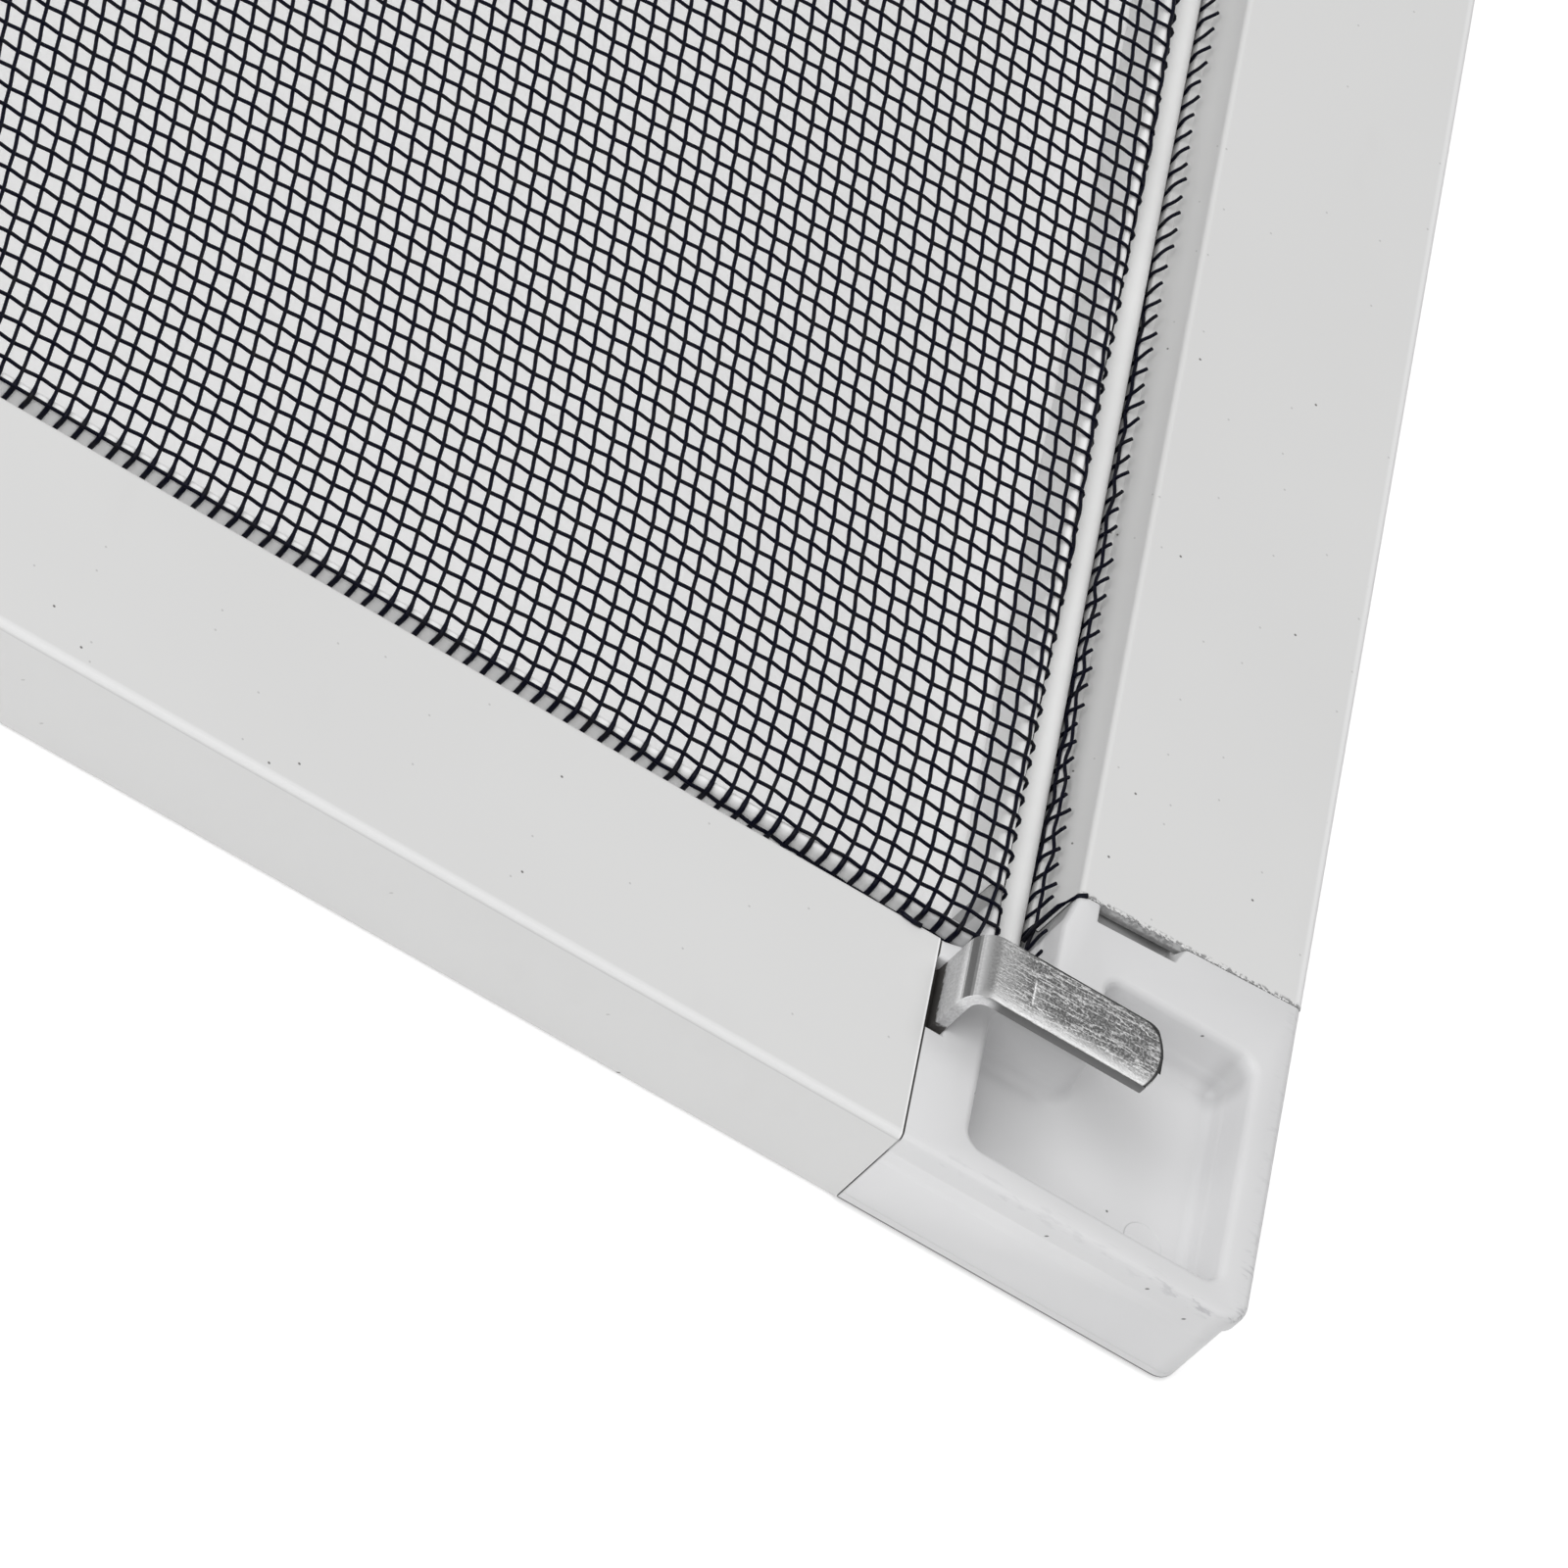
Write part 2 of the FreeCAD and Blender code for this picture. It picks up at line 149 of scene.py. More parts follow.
FLANGE_OVERHANG = 0.35

# Flakes of coating at each cut of the side rails, and the range of each of their sizes
BURRS = 110
BURR_SEED = 11
BURR_INSETS = (0.6, FACE_WIDTH - 0.3)
BURR_LENGTHS = (0.12, 0.5)
BURR_LEANS = (-0.1, 0.1)
BURR_REACHES = (0.02, 0.2)
BURR_RISES = (-0.02, 0.09)
BURR_ROOTS = (0.05, 0.3)
BURR_SUNK = 0.03
BURR_DEPTH = 0.16
BURR_FACES = ((0, 1, 2), (0, 2, 3), (1, 4, 2), (2, 4, 3), (3, 4, 0), (0, 4, 1))

# Hook strip, measured from the rail's cut towards the corner
HOOK_WIDTH = 5.9
HOOK_THICKNESS = 0.9
HOOK_TOP = 13.5
HOOK_REACH = 16.2
HOOK_RISER = 0.7
HOOK_TAIL_TOP = 7.45
HOOK_TAIL_LENGTH = 14.0
HOOK_BEND_RADIUS = 1.0
HOOK_TAIL_BEND_RADIUS = 0.4
HOOK_FROM_OUTSIDE = 14.0
HOOK_EDGE = 0.14
HOOK_LEAST_EDGE = 0.02
HOOK_ROLL_WIDTH = 1.7
HOOK_ROLL_DROP = 0.12
HOOK_ROLL_START = 1.2
HOOK_ROLL_EASE = 2.5
HOOK_TIP_BULGE = 0.9
HOOK_TIP_CORNER = 1.3
HOOK_TIP_NEAR_CORNER = 0.3
HOOK_TIP_END = 0.02
HOOK_CREASE = 5.4
HOOK_SHARP_ANGLE = 40.0

# Weave: warp strands run along Y, weft strands along X
WEAVE_SEED = 7
STRAND = 0.26
FAR_STRAND = 0.25
CRIMP = 0.07
WARP_PITCH = 1.40
WEFT_PITCH = 1.81
WARP_PLACE = 224.68
WEFT_PLACE = -274.92
FOLD_RADIUS = 1.1
TAIL_TOP = 4.7
TAIL_SPREAD = 0.30
BEND_THICKENING = 0.4
BEND_START = 0.6
LOOSE_THICKENING = 0.3
TAIL_LEAN = 0.2
TAIL_LEAN_ABOVE = 3.4
TAIL_LEAN_EASE = 3.0
TAIL_WANDER = 0.14
TAIL_WANDER_LENGTH = 6.1
TAIL_LIFT = 1.2
TAIL_LIFT_LENGTH = 24.0
CREST_PUSH = 0.3
CREST_PUSH_FROM = 0.3
CREST_PUSH_EASE = 0.6
TAIL_BUNCH = 0.9
TAIL_BUNCH_LESS = 0.36
TAIL_BUNCH_EASE = 0.8
TAIL_BUNCH_AHEAD = 1.1
TAIL_BUNCH_CLEAR = 2.0
TAIL_BUNCH_FADE = 12.0
LEAST_NORMAL_RISE = 0.05
FAR_SIDES = 4
FAR_WARP_STOPS = 20
FAR_WEFT_STOPS = 10
FAR_TURN_STOPS = 3
FAR_LEAST_STOP = 0.3
NEAR_SIDES = 6
NEAR_STEPS = 4
NEAR_LEFT = 105.0
NEAR_UP = 115.0
NEAR_RISE_START = 42.0
NEAR_RISE = 0.73
NEAR_MARGIN = 6.0
NEAR_LEAST_STOP = 1.0
STRAND_WANDER = 0.035
STRAND_WANDER_LENGTH = 7.3
LOOSE_STRANDS = (
    (
        (229.85, -272.1, 3.4), (229.95, -271.5, 4.6), (230.45, -270.6, 6.6),
        (231.0, -270.35, 8.2), (231.5, -270.35, 8.68),
    ),
    ((217.6, -280.7, 8.3), (217.8, -281.15, 8.62), (218.6, -281.3, 8.64), (219.2, -281.25, 8.63)),
)
LOOSE_NORMAL = (0.3, 0.3, 0.9)

# How the woven sheet is pulled out of square towards the bottom right corner
WEFT_DIP = 1.5
WEFT_DIP_FROM = 42.0
WEFT_DIP_TO = 10.0
WARP_LEAN_REACH = 400.0
WARP_LEAN_EASE = 300.0
WARP_FOOT_EASE = 16.0
WARP_LEAN = 0.038
WARP_LEAN_FROM = 25.0
WARP_LEAN_FADE = 250.0
WARP_FOOT = 1.1
WARP_FOOT_AT = 4.5
WARP_FOOT_FADE = 3.6
WARP_FOOT_FADE_FAR = 8.0
WARP_FOOT_FADE_OVER = 60.0


def add_object(name, data):
    """Links a mesh, lamp or camera into the scene as an object."""
    made = bpy.data.objects.new(name, data)
    bpy.context.scene.collection.objects.link(made)
    return made


def new_mesh(name, points, faces, smooth=False):
    mesh = bpy.data.meshes.new(name)
    mesh.from_pydata(points, [], faces)
    mesh.polygons.foreach_set("use_smooth", [smooth] * len(mesh.polygons))
    mesh.update()
    return mesh


def corner_signs(corner):
    """Side of the frame's middle that a corner lies on, across and up."""
    return 1 if "right" in corner else -1, 1 if "top" in corner else -1


def spread(start, end, count):
    """Evenly spaced numbers from start to end, both included."""
    return [start + (end - start) * index / count for index in range(count + 1)]


def smooth_step(value):
    value = min(max(value, 0.0), 1.0)
    return value * value * (3 - 2 * value)


# Materials

# Levels, places and bands that the finishes turn on, in millimetres
FACE_LEVELS = (8.15, 8.25)
LIP_HIGHLIGHT_BAND = (20.8, 21.2)
EDGE_SHADE_LINE_Z = 8.03
POCKET_SHADE_PLACE = (23.1, 3.4)
EJECTOR_PLACE = (6.9, 7.2)
EJECTOR_RIM = (1.50, 1.64)
PARTING_LINE_Z = 0.95
STRIP_TOP_LEVELS = (12.4, 12.7)
STRIP_EDGE_SHADE_INSET = (0.34, 0.20)
NICK_OFF_MIDDLE = 0.4
NICK_WIDTHS = (0.04, 0.10)


def grey(level):
    return (level, level, level, 1)


class Paint:
    """A material with one principled shader, and short ways to add the nodes that feed it."""

    def __init__(self, name, colour, roughness, metallic=0.0, specular=0.5):
        self.material = bpy.data.materials.new(name)
        self.material.use_nodes = True
        self.tree = self.material.node_tree
        self.shader = self.tree.nodes["Principled BSDF"]
        self.colour((*colour, 1))
        self.roughness(roughness)
        self.shader.inputs["Metallic"].default_value = metallic
        self.shader.inputs["Specular IOR Level"].default_value = specular
        self.place = self.node("TexCoord").outputs["Object"]

    def node(self, kind):
        return self.tree.nodes.new("ShaderNode" + kind)

    def feed(self, socket, value):
        """Links a node's output to an input, or sets the input to a plain value."""
        if isinstance(value, bpy.types.NodeSocket):
            self.tree.links.new(value, socket)
        else:
            socket.default_value = value

    def stretched(self, scale):
        """The place on the object, scaled along each axis."""
        mapping = self.node("Mapping")
        self.feed(mapping.inputs["Vector"], self.place)
        mapping.inputs["Scale"].default_value = scale
        return mapping.outputs["Vector"]

    def noise(self, scale, detail=2.0, vector=None):
        made = self.node("TexNoise")
        self.feed(made.inputs["Vector"], vector or self.place)
        made.inputs["Scale"].default_value = scale
        made.inputs["Detail"].default_value = detail
        return made.outputs["Fac"]

    def math(self, operation, first, second=0.0):
        made = self.node("Math")
        made.operation = operation
        self.feed(made.inputs[0], first)
        self.feed(made.inputs[1], second)
        return made.outputs[0]

    def minus(self, first, second):
        return self.math("SUBTRACT", first, second)

    def times(self, first, *others):
        """Product of two or more values."""
        for other in others:
            first = self.math("MULTIPLY", first, other)
        return first

    def size(self, value):
        return self.math("ABSOLUTE", value)

    def slant(self, first, second):
        """Length of the slant over two legs at right angles."""
        squares = self.math("ADD", self.math("POWER", first, 2.0), self.math("POWER", second, 2.0))
        return self.math("SQRT", squares)

    def ramp(self, value, low, high, to_low=0.0, to_high=1.0):
        """Maps a value's range smoothly to another, held at both ends."""
        made = self.node("MapRange")
        made.interpolation_type = "SMOOTHSTEP"
        self.feed(made.inputs["Value"], value)
        limits = {"From Min": low, "From Max": high, "To Min": to_low, "To Max": to_high}
        for socket, limit in limits.items():
            made.inputs[socket].default_value = limit
        return made.outputs["Result"]

    def rise(self, length, limits, to_low=0.0, to_high=1.0):
        """Ramp over a length between two limits in millimetres."""
        return self.ramp(length, limits[0] * MM, limits[1] * MM, to_low, to_high)

    def fall(self, length, limits):
        """Ramp from one to nothing over a length between two limits in millimetres."""
        return self.rise(length, limits, 1.0, 0.0)

    def mix(self, factor, first, second):
        made = self.node("Mix")
        made.data_type = "RGBA"
        self.feed(made.inputs["Factor"], factor)
        self.feed(made.inputs[6], first)
        self.feed(made.inputs[7], second)
        return made.outputs[2]

    def axes(self, vector=None):
        made = self.node("SeparateXYZ")
        self.feed(made.inputs[0], vector or self.place)
        return made.outputs[0], made.outputs[1], made.outputs[2]

    def specks(self, scale, share, size):
        """Small round dots, one in some of the cells of a grid of about 1 / scale metres."""
        x, y, z = self.axes()
        spot = self.node("CombineXYZ")
        self.feed(spot.inputs[0], self.minus(x, self.times(z, 0.6)))
        self.feed(spot.inputs[1], self.math("ADD", y, self.times(z, 0.8)))
        made = self.node("TexVoronoi")
        made.voronoi_dimensions = "2D"
        self.feed(made.inputs["Vector"], spot.outputs[0])
        made.inputs["Scale"].default_value = scale
        split = self.node("SeparateColor")
        self.feed(split.inputs[0], made.outputs["Color"])
        chosen = self.math("LESS_THAN", split.outputs[0], share)
        dot = self.ramp(made.outputs["Distance"], size * 0.5, size, 1.0, 0.0)
        return self.times(chosen, dot)

    def bump(self, height, strength, distance):
        made = self.node("Bump")
        made.inputs["Strength"].default_value = strength
        made.inputs["Distance"].default_value = distance
        self.feed(made.inputs["Height"], height)
        if self.shader.inputs["Normal"].is_linked:
            self.feed(made.inputs["Normal"], self.shader.inputs["Normal"].links[0].from_socket)
        self.feed(self.shader.inputs["Normal"], made.outputs["Normal"])

    def colour(self, value):
        self.feed(self.shader.inputs["Base Color"], value)

    def roughness(self, value):
        self.feed(self.shader.inputs["Roughness"], value)


def side_cut_shift(x):
    """How far a side rail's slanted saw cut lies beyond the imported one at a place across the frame."""
    return SIDE_CUT_SHIFT + SIDE_CUT_SLANT * (abs(x) - HALF_WIDTH + FACE_WIDTH)


def powder_coat(name, along_y):
    """White baked powder on aluminium: smudges, dust and speckled saw cuts, with painted highlights on the
    lip, the outer edge and the flat rails' cut edges, and a painted shade line under the outer edge.
    """
    paint = Paint(name, (0.745, 0.745, 0.74), 0.45)
    x, y, z = paint.axes()
    x = paint.size(x)
    y = paint.size(y)
    facing = paint.axes(paint.node("NewGeometry").outputs["Normal"])[1 if along_y else 0]
    if along_y:
        slant = paint.times(paint.minus(x, (HALF_WIDTH - FACE_WIDTH) * MM), SIDE_CUT_SLANT)
        to_cut = paint.minus(paint.minus((SIDE_CUT - SIDE_CUT_SHIFT) * MM, y), slant)
        from_outside = paint.minus(HALF_WIDTH * MM, x)
    else:
        to_cut = paint.minus((FLAT_CUT + FLAT_CUT_SHIFT) * MM, x)
        from_outside = paint.minus(HALF_HEIGHT * MM, y)
    cloud = paint.ramp(paint.noise(28, 4), 0.3, 0.75)
    tint = paint.mix(cloud, (0.752, 0.752, 0.748, 1), (0.732, 0.731, 0.727, 1))
    smear = paint.ramp(paint.noise(90, 5, paint.stretched((1, 0.45, 1))), 0.62, 0.80, 0.0, 0.35)
    tint = paint.mix(smear, tint, (0.68, 0.675, 0.67, 1))
    tint = paint.mix(paint.specks(110, 0.36, 0.015), tint, (0.16, 0.155, 0.15, 1))
    faint = paint.times(paint.specks(230, 0.35, 0.028), 0.45)
    tint = paint.mix(faint, tint, (0.35, 0.345, 0.34, 1))
    # painted highlight: the lip along the inner side made near white, lighter than the face
    tint = paint.mix(paint.rise(from_outside, LIP_HIGHLIGHT_BAND), tint, grey(0.96))
    # the extrusion's outer edge: a painted highlight on its rounding, with a thin painted shade line under it
    on_face = paint.rise(z, FACE_LEVELS)
    rounding = paint.times(paint.fall(from_outside, (0.5, 0.8)), on_face)
    tint = paint.mix(rounding, tint, grey(0.83))
    under = paint.fall(paint.size(paint.minus(z, EDGE_SHADE_LINE_Z * MM)), (0.03, 0.09))
    under = paint.times(under, paint.fall(from_outside, (0.1, 0.3)))
    tint = paint.mix(under, tint, grey(0.64))
    # the edge of the cut: ragged on the side rails, and a painted highlight along it on the flat ones
    if along_y:
        ragged = paint.ramp(paint.noise(3000, 4), 0.46, 0.55)
        torn = paint.times(paint.fall(to_cut, (0.08, 0.40)), on_face, ragged)
        tint = paint.mix(torn, tint, grey(0.26))
    else:
        edge = paint.times(paint.fall(to_cut, (0.06, 0.18)), on_face)
        tint = paint.mix(edge, tint, grey(0.95))
    # the sawn end itself: speckled bare metal, dark inside the section
    raw = paint.mix(paint.ramp(paint.noise(2600, 3), 0.40, 0.60), grey(0.46), grey(0.72))
    raw = paint.mix(paint.rise(z, (7.7, 8.0), 0.8, 0.0), raw, grey(0.22))
    sawn = paint.times(paint.ramp(paint.size(facing), 0.8, 0.95), paint.rise(to_cut, (1.0, 0.5)))
    paint.colour(paint.mix(sawn, tint, raw))
    paint.roughness(paint.ramp(paint.noise(60, 3), 0.25, 0.8, 0.40, 0.52))
    paint.bump(paint.noise(1500, 2), 0.05, 0.00006)
    return paint.material


def plastic_dirt_and_shade(paint, tint, from_x, from_y, z):
    """Painted shade in the side arm's notch and along the foot of the walls, and dark dirt in the seams at
    the rails' cuts.
    """
    seam_x = paint.minus((CORNER_REACH - FLAT_CUT_SHIFT - FLAT_SEAM) * MM, from_x)
    seam_y = paint.minus((CORNER_REACH + SIDE_CUT_SHIFT + SIDE_CUT_SLANT * FACE_WIDTH) * MM, from_y)
    seam_y = paint.minus(seam_y, paint.times(from_x, SIDE_CUT_SLANT))
    # painted shade: the notch darkened below the face
    notch = paint.times(paint.fall(seam_y, (2.0, 2.4)), paint.rise(z, (7.8, 7.2), 0.0, 0.8))
    tint = paint.mix(notch, tint, grey(0.30))
    into_x = paint.times(paint.fall(seam_x, (0.02, 0.08)), paint.rise(z, (7.8, 8.3), 0.35, 1.0))
    into_y = paint.times(paint.fall(seam_y, (0.04, 0.10)), paint.rise(z, (7.4, 7.8)))
    # painted shade: a dark line along the foot of the outer walls
    foot = paint.rise(z, (0.36, 0.46), 0.85, 0.0)
    # seam dirt and the painted shade at the foot, taken together
    dirt = paint.math("MAXIMUM", paint.math("MAXIMUM", into_x, into_y), foot)
    return paint.mix(dirt, tint, (0.045, 0.043, 0.042, 1))


def moulded_plastic():
    """White moulded plastic, a little cooler than the rails: scuffs, painted shade at the ends of the pocket,
    ejector ring, parting line.
    """
    paint = Paint("moulded_plastic", (0.745, 0.745, 0.752), 0.42)
    x, y, z = paint.axes()
    from_x = paint.minus(HALF_WIDTH * MM, paint.size(x))
    from_y = paint.minus(HALF_HEIGHT * MM, paint.size(y))
    cloud = paint.ramp(paint.noise(70, 4), 0.3, 0.75)
    tint = paint.mix(cloud, (0.755, 0.755, 0.761, 1), (0.735, 0.735, 0.742, 1))
    # fine grey scuffs along the outer edges of the face, most at the outer corner
    from_edge = paint.math("MINIMUM", from_x, from_y)
    from_corner = paint.math("MAXIMUM", from_x, from_y)
    rubbed = paint.ramp(paint.noise(1.0, 5, paint.stretched((700, 2400, 2400))), 0.54, 0.66)
    scuff = paint.times(paint.fall(from_edge, (0.4, 1.6)), paint.rise(z, (7.4, 8.3)), rubbed)
    scuff = paint.times(scuff, paint.rise(from_corner, (3.0, 10.0), 0.55, 0.14))
    tint = paint.mix(scuff, tint, (0.38, 0.38, 0.40, 1))
    # painted shade at the ends of the pocket, against its outer walls
    end = paint.minus(from_corner, POCKET_SHADE_PLACE[0] * MM)
    side = paint.minus(from_edge, POCKET_SHADE_PLACE[1] * MM)
    pocket_end_shade = paint.rise(paint.slant(end, side), (0.2, 2.2), 0.45, 0.0)
    pocket_end_shade = paint.times(pocket_end_shade, paint.rise(z, (8.0, 7.0)))
    tint = paint.mix(pocket_end_shade, tint, (0.42, 0.42, 0.425, 1))
    tint = paint.mix(paint.specks(240, 0.17, 0.032), tint, grey(0.16))
    paint.colour(plastic_dirt_and_shade(paint, tint, from_x, from_y, z))
    paint.roughness(paint.ramp(paint.noise(200, 4), 0.3, 0.7, 0.36, 0.50))
    paint.bump(paint.noise(2600, 2), 0.05, 0.00005)
    # ring left by the ejector pin on the pocket's floor
    ring_x = paint.minus(from_x, EJECTOR_PLACE[0] * MM)
    ring_y = paint.minus(from_y, EJECTOR_PLACE[1] * MM)
    disc = paint.rise(paint.slant(ring_x, ring_y), EJECTOR_RIM)
    paint.bump(paint.times(disc, paint.rise(z, (5.8, 5.2))), 1.0, 0.00007)
    # parting line of the mould round the foot of the outer walls
    line = paint.rise(paint.size(paint.minus(z, PARTING_LINE_Z * MM)), (0.03, 0.10))
    paint.bump(line, 0.6, 0.00006)
    return paint.material


def torn_coat():
    """Broken powder coat at a saw cut: chalky white with grey metal showing."""
    paint = Paint("torn_coat", (0.78, 0.78, 0.78), 0.6)
    paint.colour(paint.mix(paint.ramp(paint.noise(2600, 3), 0.42, 0.62), grey(0.88), grey(0.34)))
    return paint.material


def soft_cord():
    """Pale soft plastic of the spline, faintly clouded."""
    paint = Paint("soft_cord", (0.93, 0.93, 0.925), 0.5)
    cloud = paint.ramp(paint.noise(120, 3), 0.3, 0.75)
    paint.colour(paint.mix(cloud, (0.97, 0.97, 0.965, 1), (0.93, 0.93, 0.925, 1)))
    paint.roughness(paint.ramp(paint.noise(300, 2), 0.3, 0.7, 0.42, 0.58))
    return paint.material


def coated_strand():
    """Black vinyl on glass yarn, with a faint navy cast and a dull sheen."""
    paint = Paint("coated_strand", (0.004, 0.004, 0.010), 0.42, specular=0.12)
    dust = paint.ramp(paint.noise(650, 3), 0.45, 0.75)
    paint.colour(paint.mix(dust, (0.002, 0.0025, 0.010, 1), (0.010, 0.010, 0.013, 1)))
    paint.roughness(paint.ramp(paint.noise(1800, 2), 0.3, 0.7, 0.34, 0.50))
    return paint.material


def hook_edge_shade(paint, x, y):
    """Painted shade in a thin band round the strip's far edge and tip, where its rounding turns away."""
    half = HOOK_WIDTH / 2
    inner = half - HOOK_TIP_CORNER
    start = HOOK_REACH - HOOK_TIP_CORNER
    bulge = paint.times(paint.math("POWER", y, 2.0), HOOK_TIP_BULGE / (half * half * MM))
    past = paint.math("MAXIMUM", paint.math("ADD", paint.minus(x, start * MM), bulge), 0.0)
    out = paint.math("MAXIMUM", paint.minus(y, inner * MM), 0.0)
    limits = [HOOK_TIP_CORNER - inset for inset in STRIP_EDGE_SHADE_INSET]
    band = paint.rise(paint.slant(past, out), limits)
    ease = (0.0, 0.2)
    seen = paint.math("MAXIMUM", paint.rise(y, ease), paint.rise(past, ease))
    return paint.times(band, seen, paint.rise(x, (3.0, 5.0)))


def hook_scratches(paint, grain):
    """Crumpled hair-fine scratches over a fine grain."""
    long_lines = paint.noise(1.0, 4, paint.stretched((330, 1900, 900)))
    short_lines = paint.noise(1.0, 4, paint.stretched((1500, 1000, 900)))
    long_lines = paint.ramp(paint.size(paint.minus(long_lines, 0.5)), 0.003, 0.045, 1.0, 0.0)
    short_lines = paint.ramp(paint.size(paint.minus(short_lines, 0.5)), 0.003, 0.040, 1.0, 0.0)
    marks = paint.math("ADD", paint.times(long_lines, 0.42), paint.times(short_lines, 0.20))
    return paint.math("ADD", marks, paint.ramp(grain, 0.25, 0.75, 0.0, 0.50))


def hook_nick_highlight(paint, x, y):
    """Painted highlight along a nick pressed across the top, fading towards the tip."""
    past = paint.minus(x, HOOK_CREASE * MM)
    line = paint.fall(paint.size(past), NICK_WIDTHS)
    fade = paint.times(paint.rise(past, (0.0, NICK_WIDTHS[0])), paint.rise(past, (0.0, 1.4), 0.25, 0.0))
    middle = paint.size(paint.math("ADD", y, NICK_OFF_MIDDLE * MM))
    return paint.times(paint.math("MAXIMUM", line, fade), paint.fall(middle, (0.7, 1.4)))


def hook_steel():
    """Zinc-coated strip: smooth at its bends, scratched along its top, and painted with light and shade:
    highlights on the bends, the nick and the rolled edge, a dark reflection in a turn, and shade at the
    riser's foot, on the sides and round the far edge and tip.
    """
    paint = Paint("hook_steel", (0.55, 0.55, 0.55), 0.3, metallic=1.0)
    x, y, z = paint.axes()
    turned = paint.node("VectorTransform")
    turned.vector_type = "NORMAL"
    turned.convert_from = "WORLD"
    turned.convert_to = "OBJECT"
    paint.feed(turned.inputs[0], paint.node("NewGeometry").outputs["True Normal"])
    ahead, across, up = paint.axes(turned.outputs[0])
    on_top = paint.rise(z, STRIP_TOP_LEVELS)
    grain = paint.noise(5200, 3)
    marks = hook_scratches(paint, grain)
    grainy = paint.ramp(grain, 0.3, 0.7)
    # one steel in three greys by height, lit and shaded copies: the near white at the bends is a painted
    # highlight
    riser = paint.mix(grainy, (0.64, 0.64, 0.645, 1), (0.50, 0.50, 0.505, 1))
    bend = paint.mix(grainy, (0.96, 0.96, 0.965, 1), (0.82, 0.82, 0.825, 1))
    flat = paint.mix(grainy, grey(0.40), grey(0.56))
    smooth = paint.mix(paint.rise(z, (10.8, 11.8)), riser, bend)
    smooth = paint.mix(paint.rise(z, (12.9, 13.5)), smooth, flat)
    paint.feed(paint.shader.inputs["Metallic"], paint.rise(z, (12.6, 13.5), 0.55, 1.0))
    scratched = paint.mix(paint.ramp(marks, 0.10, 0.85), grey(0.16), grey(0.72))
    rubbed = paint.times(paint.rise(x, (3.0, 5.2)), on_top)
    tint = paint.mix(rubbed, smooth, scratched)
    # painted dark reflection in the turn of the bend, and painted shade on the foot of the riser in its notch
    turn = paint.times(paint.ramp(ahead, -1.0, -0.97), paint.ramp(ahead, -0.86, -0.70, 1.0, 0.0), 0.9)
    tint = paint.mix(turn, tint, grey(0.16))
    low = paint.math("ADD", z, paint.ramp(paint.noise(2600, 3), 0.3, 0.7, -0.00015, 0.00015))
    tint = paint.mix(paint.rise(low, (8.6, 8.9), 0.9, 0.0), tint, (0.05, 0.045, 0.04, 1))
    # painted highlight along the nick
    tint = paint.mix(paint.times(hook_nick_highlight(paint, x, y), on_top), tint, grey(0.95))
    # painted highlight on the rounding of the rolled edge, painted shade on the cut sides below it, and
    # painted shade along the far edge and tip
    from_edge = paint.math("ADD", y, HOOK_WIDTH / 2 * MM)
    upwards = paint.times(on_top, paint.ramp(up, 0.8, 0.9))
    rolled_edge_highlight = paint.times(paint.fall(from_edge, (0.0, HOOK_ROLL_WIDTH)), upwards)
    crest = paint.fall(from_edge, (0.0, 0.9))
    tint = paint.mix(rolled_edge_highlight, tint, paint.mix(crest, grey(0.52), grey(0.74)))
    side_shade = paint.times(paint.ramp(paint.size(across), 0.80, 0.95), paint.rise(x, (2.2, 3.4)))
    tint = paint.mix(side_shade, tint, grey(0.24))
    upwards = paint.times(on_top, paint.ramp(up, 0.5, 0.6))
    paint.colour(paint.mix(paint.times(hook_edge_shade(paint, x, y), upwards), tint, grey(0.06)))
    rough = paint.rise(z, (11.5, 13.0), 0.55, 0.28)
    paint.roughness(paint.math("MAXIMUM", rough, paint.ramp(rolled_edge_highlight, 0.0, 1.0, 0.28, 0.40)))
    paint.bump(marks, 0.2, 0.00006)
    return paint.material


def thinned(from_outside, z):
    """Distance from the frame's outside of a point, once the groove side of the lip is drawn in."""
    if z < GROOVE_FLOOR + LIP_FOOT or not LIP_GROOVE_SIDE < from_outside < LIP_MIDDLE:
        return from_outside
    share = (LIP_MIDDLE - from_outside) / (LIP_MIDDLE - LIP_GROOVE_SIDE)
    return from_outside + LIP_THINNING * share


def make_cord(side, material):
    """Spline pressed out of round, until it meets the mesh on its inner side."""
    mesh = NODES[side + "_spline"].data.copy()
    across = 1 if side in ("bottom", "top") else 0
    low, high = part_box(side + "_spline")
    middle = (low[across] + high[across]) / 2
    outwards = math.copysign(1, middle)
    for vertex in mesh.vertices:
        inwards = (middle - vertex.co[across]) * outwards
        if inwards > 0:
            vertex.co[across] = middle - outwards * inwards * CORD_WIDENING
    mesh.materials.clear()
    mesh.materials.append(material)
    piece = add_object(side + "_cord", mesh)
    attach(piece, "root")
    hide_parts(side + "_spline")


def make_rail(side, material):
    """Rail with its ends where they were really sawn."""
    mesh = NODES[side + "_rail"].data.copy()
    along = 0 if side in ("bottom", "top") else 1
    across = 1 - along
    cut = SIDE_CUT if along else FLAT_CUT
    outside = HALF_WIDTH if along else HALF_HEIGHT
    for vertex in mesh.vertices:
        place = vertex.co / MM
        if abs(abs(place[along]) - cut) < CUT_TOUCH:
            shift = -side_cut_shift(place.x) if along else FLAT_CUT_SHIFT
            vertex.co[along] += math.copysign(1, place[along]) * shift * MM
        reach = outside - thinned(outside - abs(place[across]), place.z)
        vertex.co[across] = math.copysign(reach, place[across]) * MM
    mesh.materials.clear()
    mesh.materials.append(material)
    piece = add_object(side + "_rail_sawn", mesh)
    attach(piece, "root")
    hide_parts(side + "_rail")


# Mesh sheet

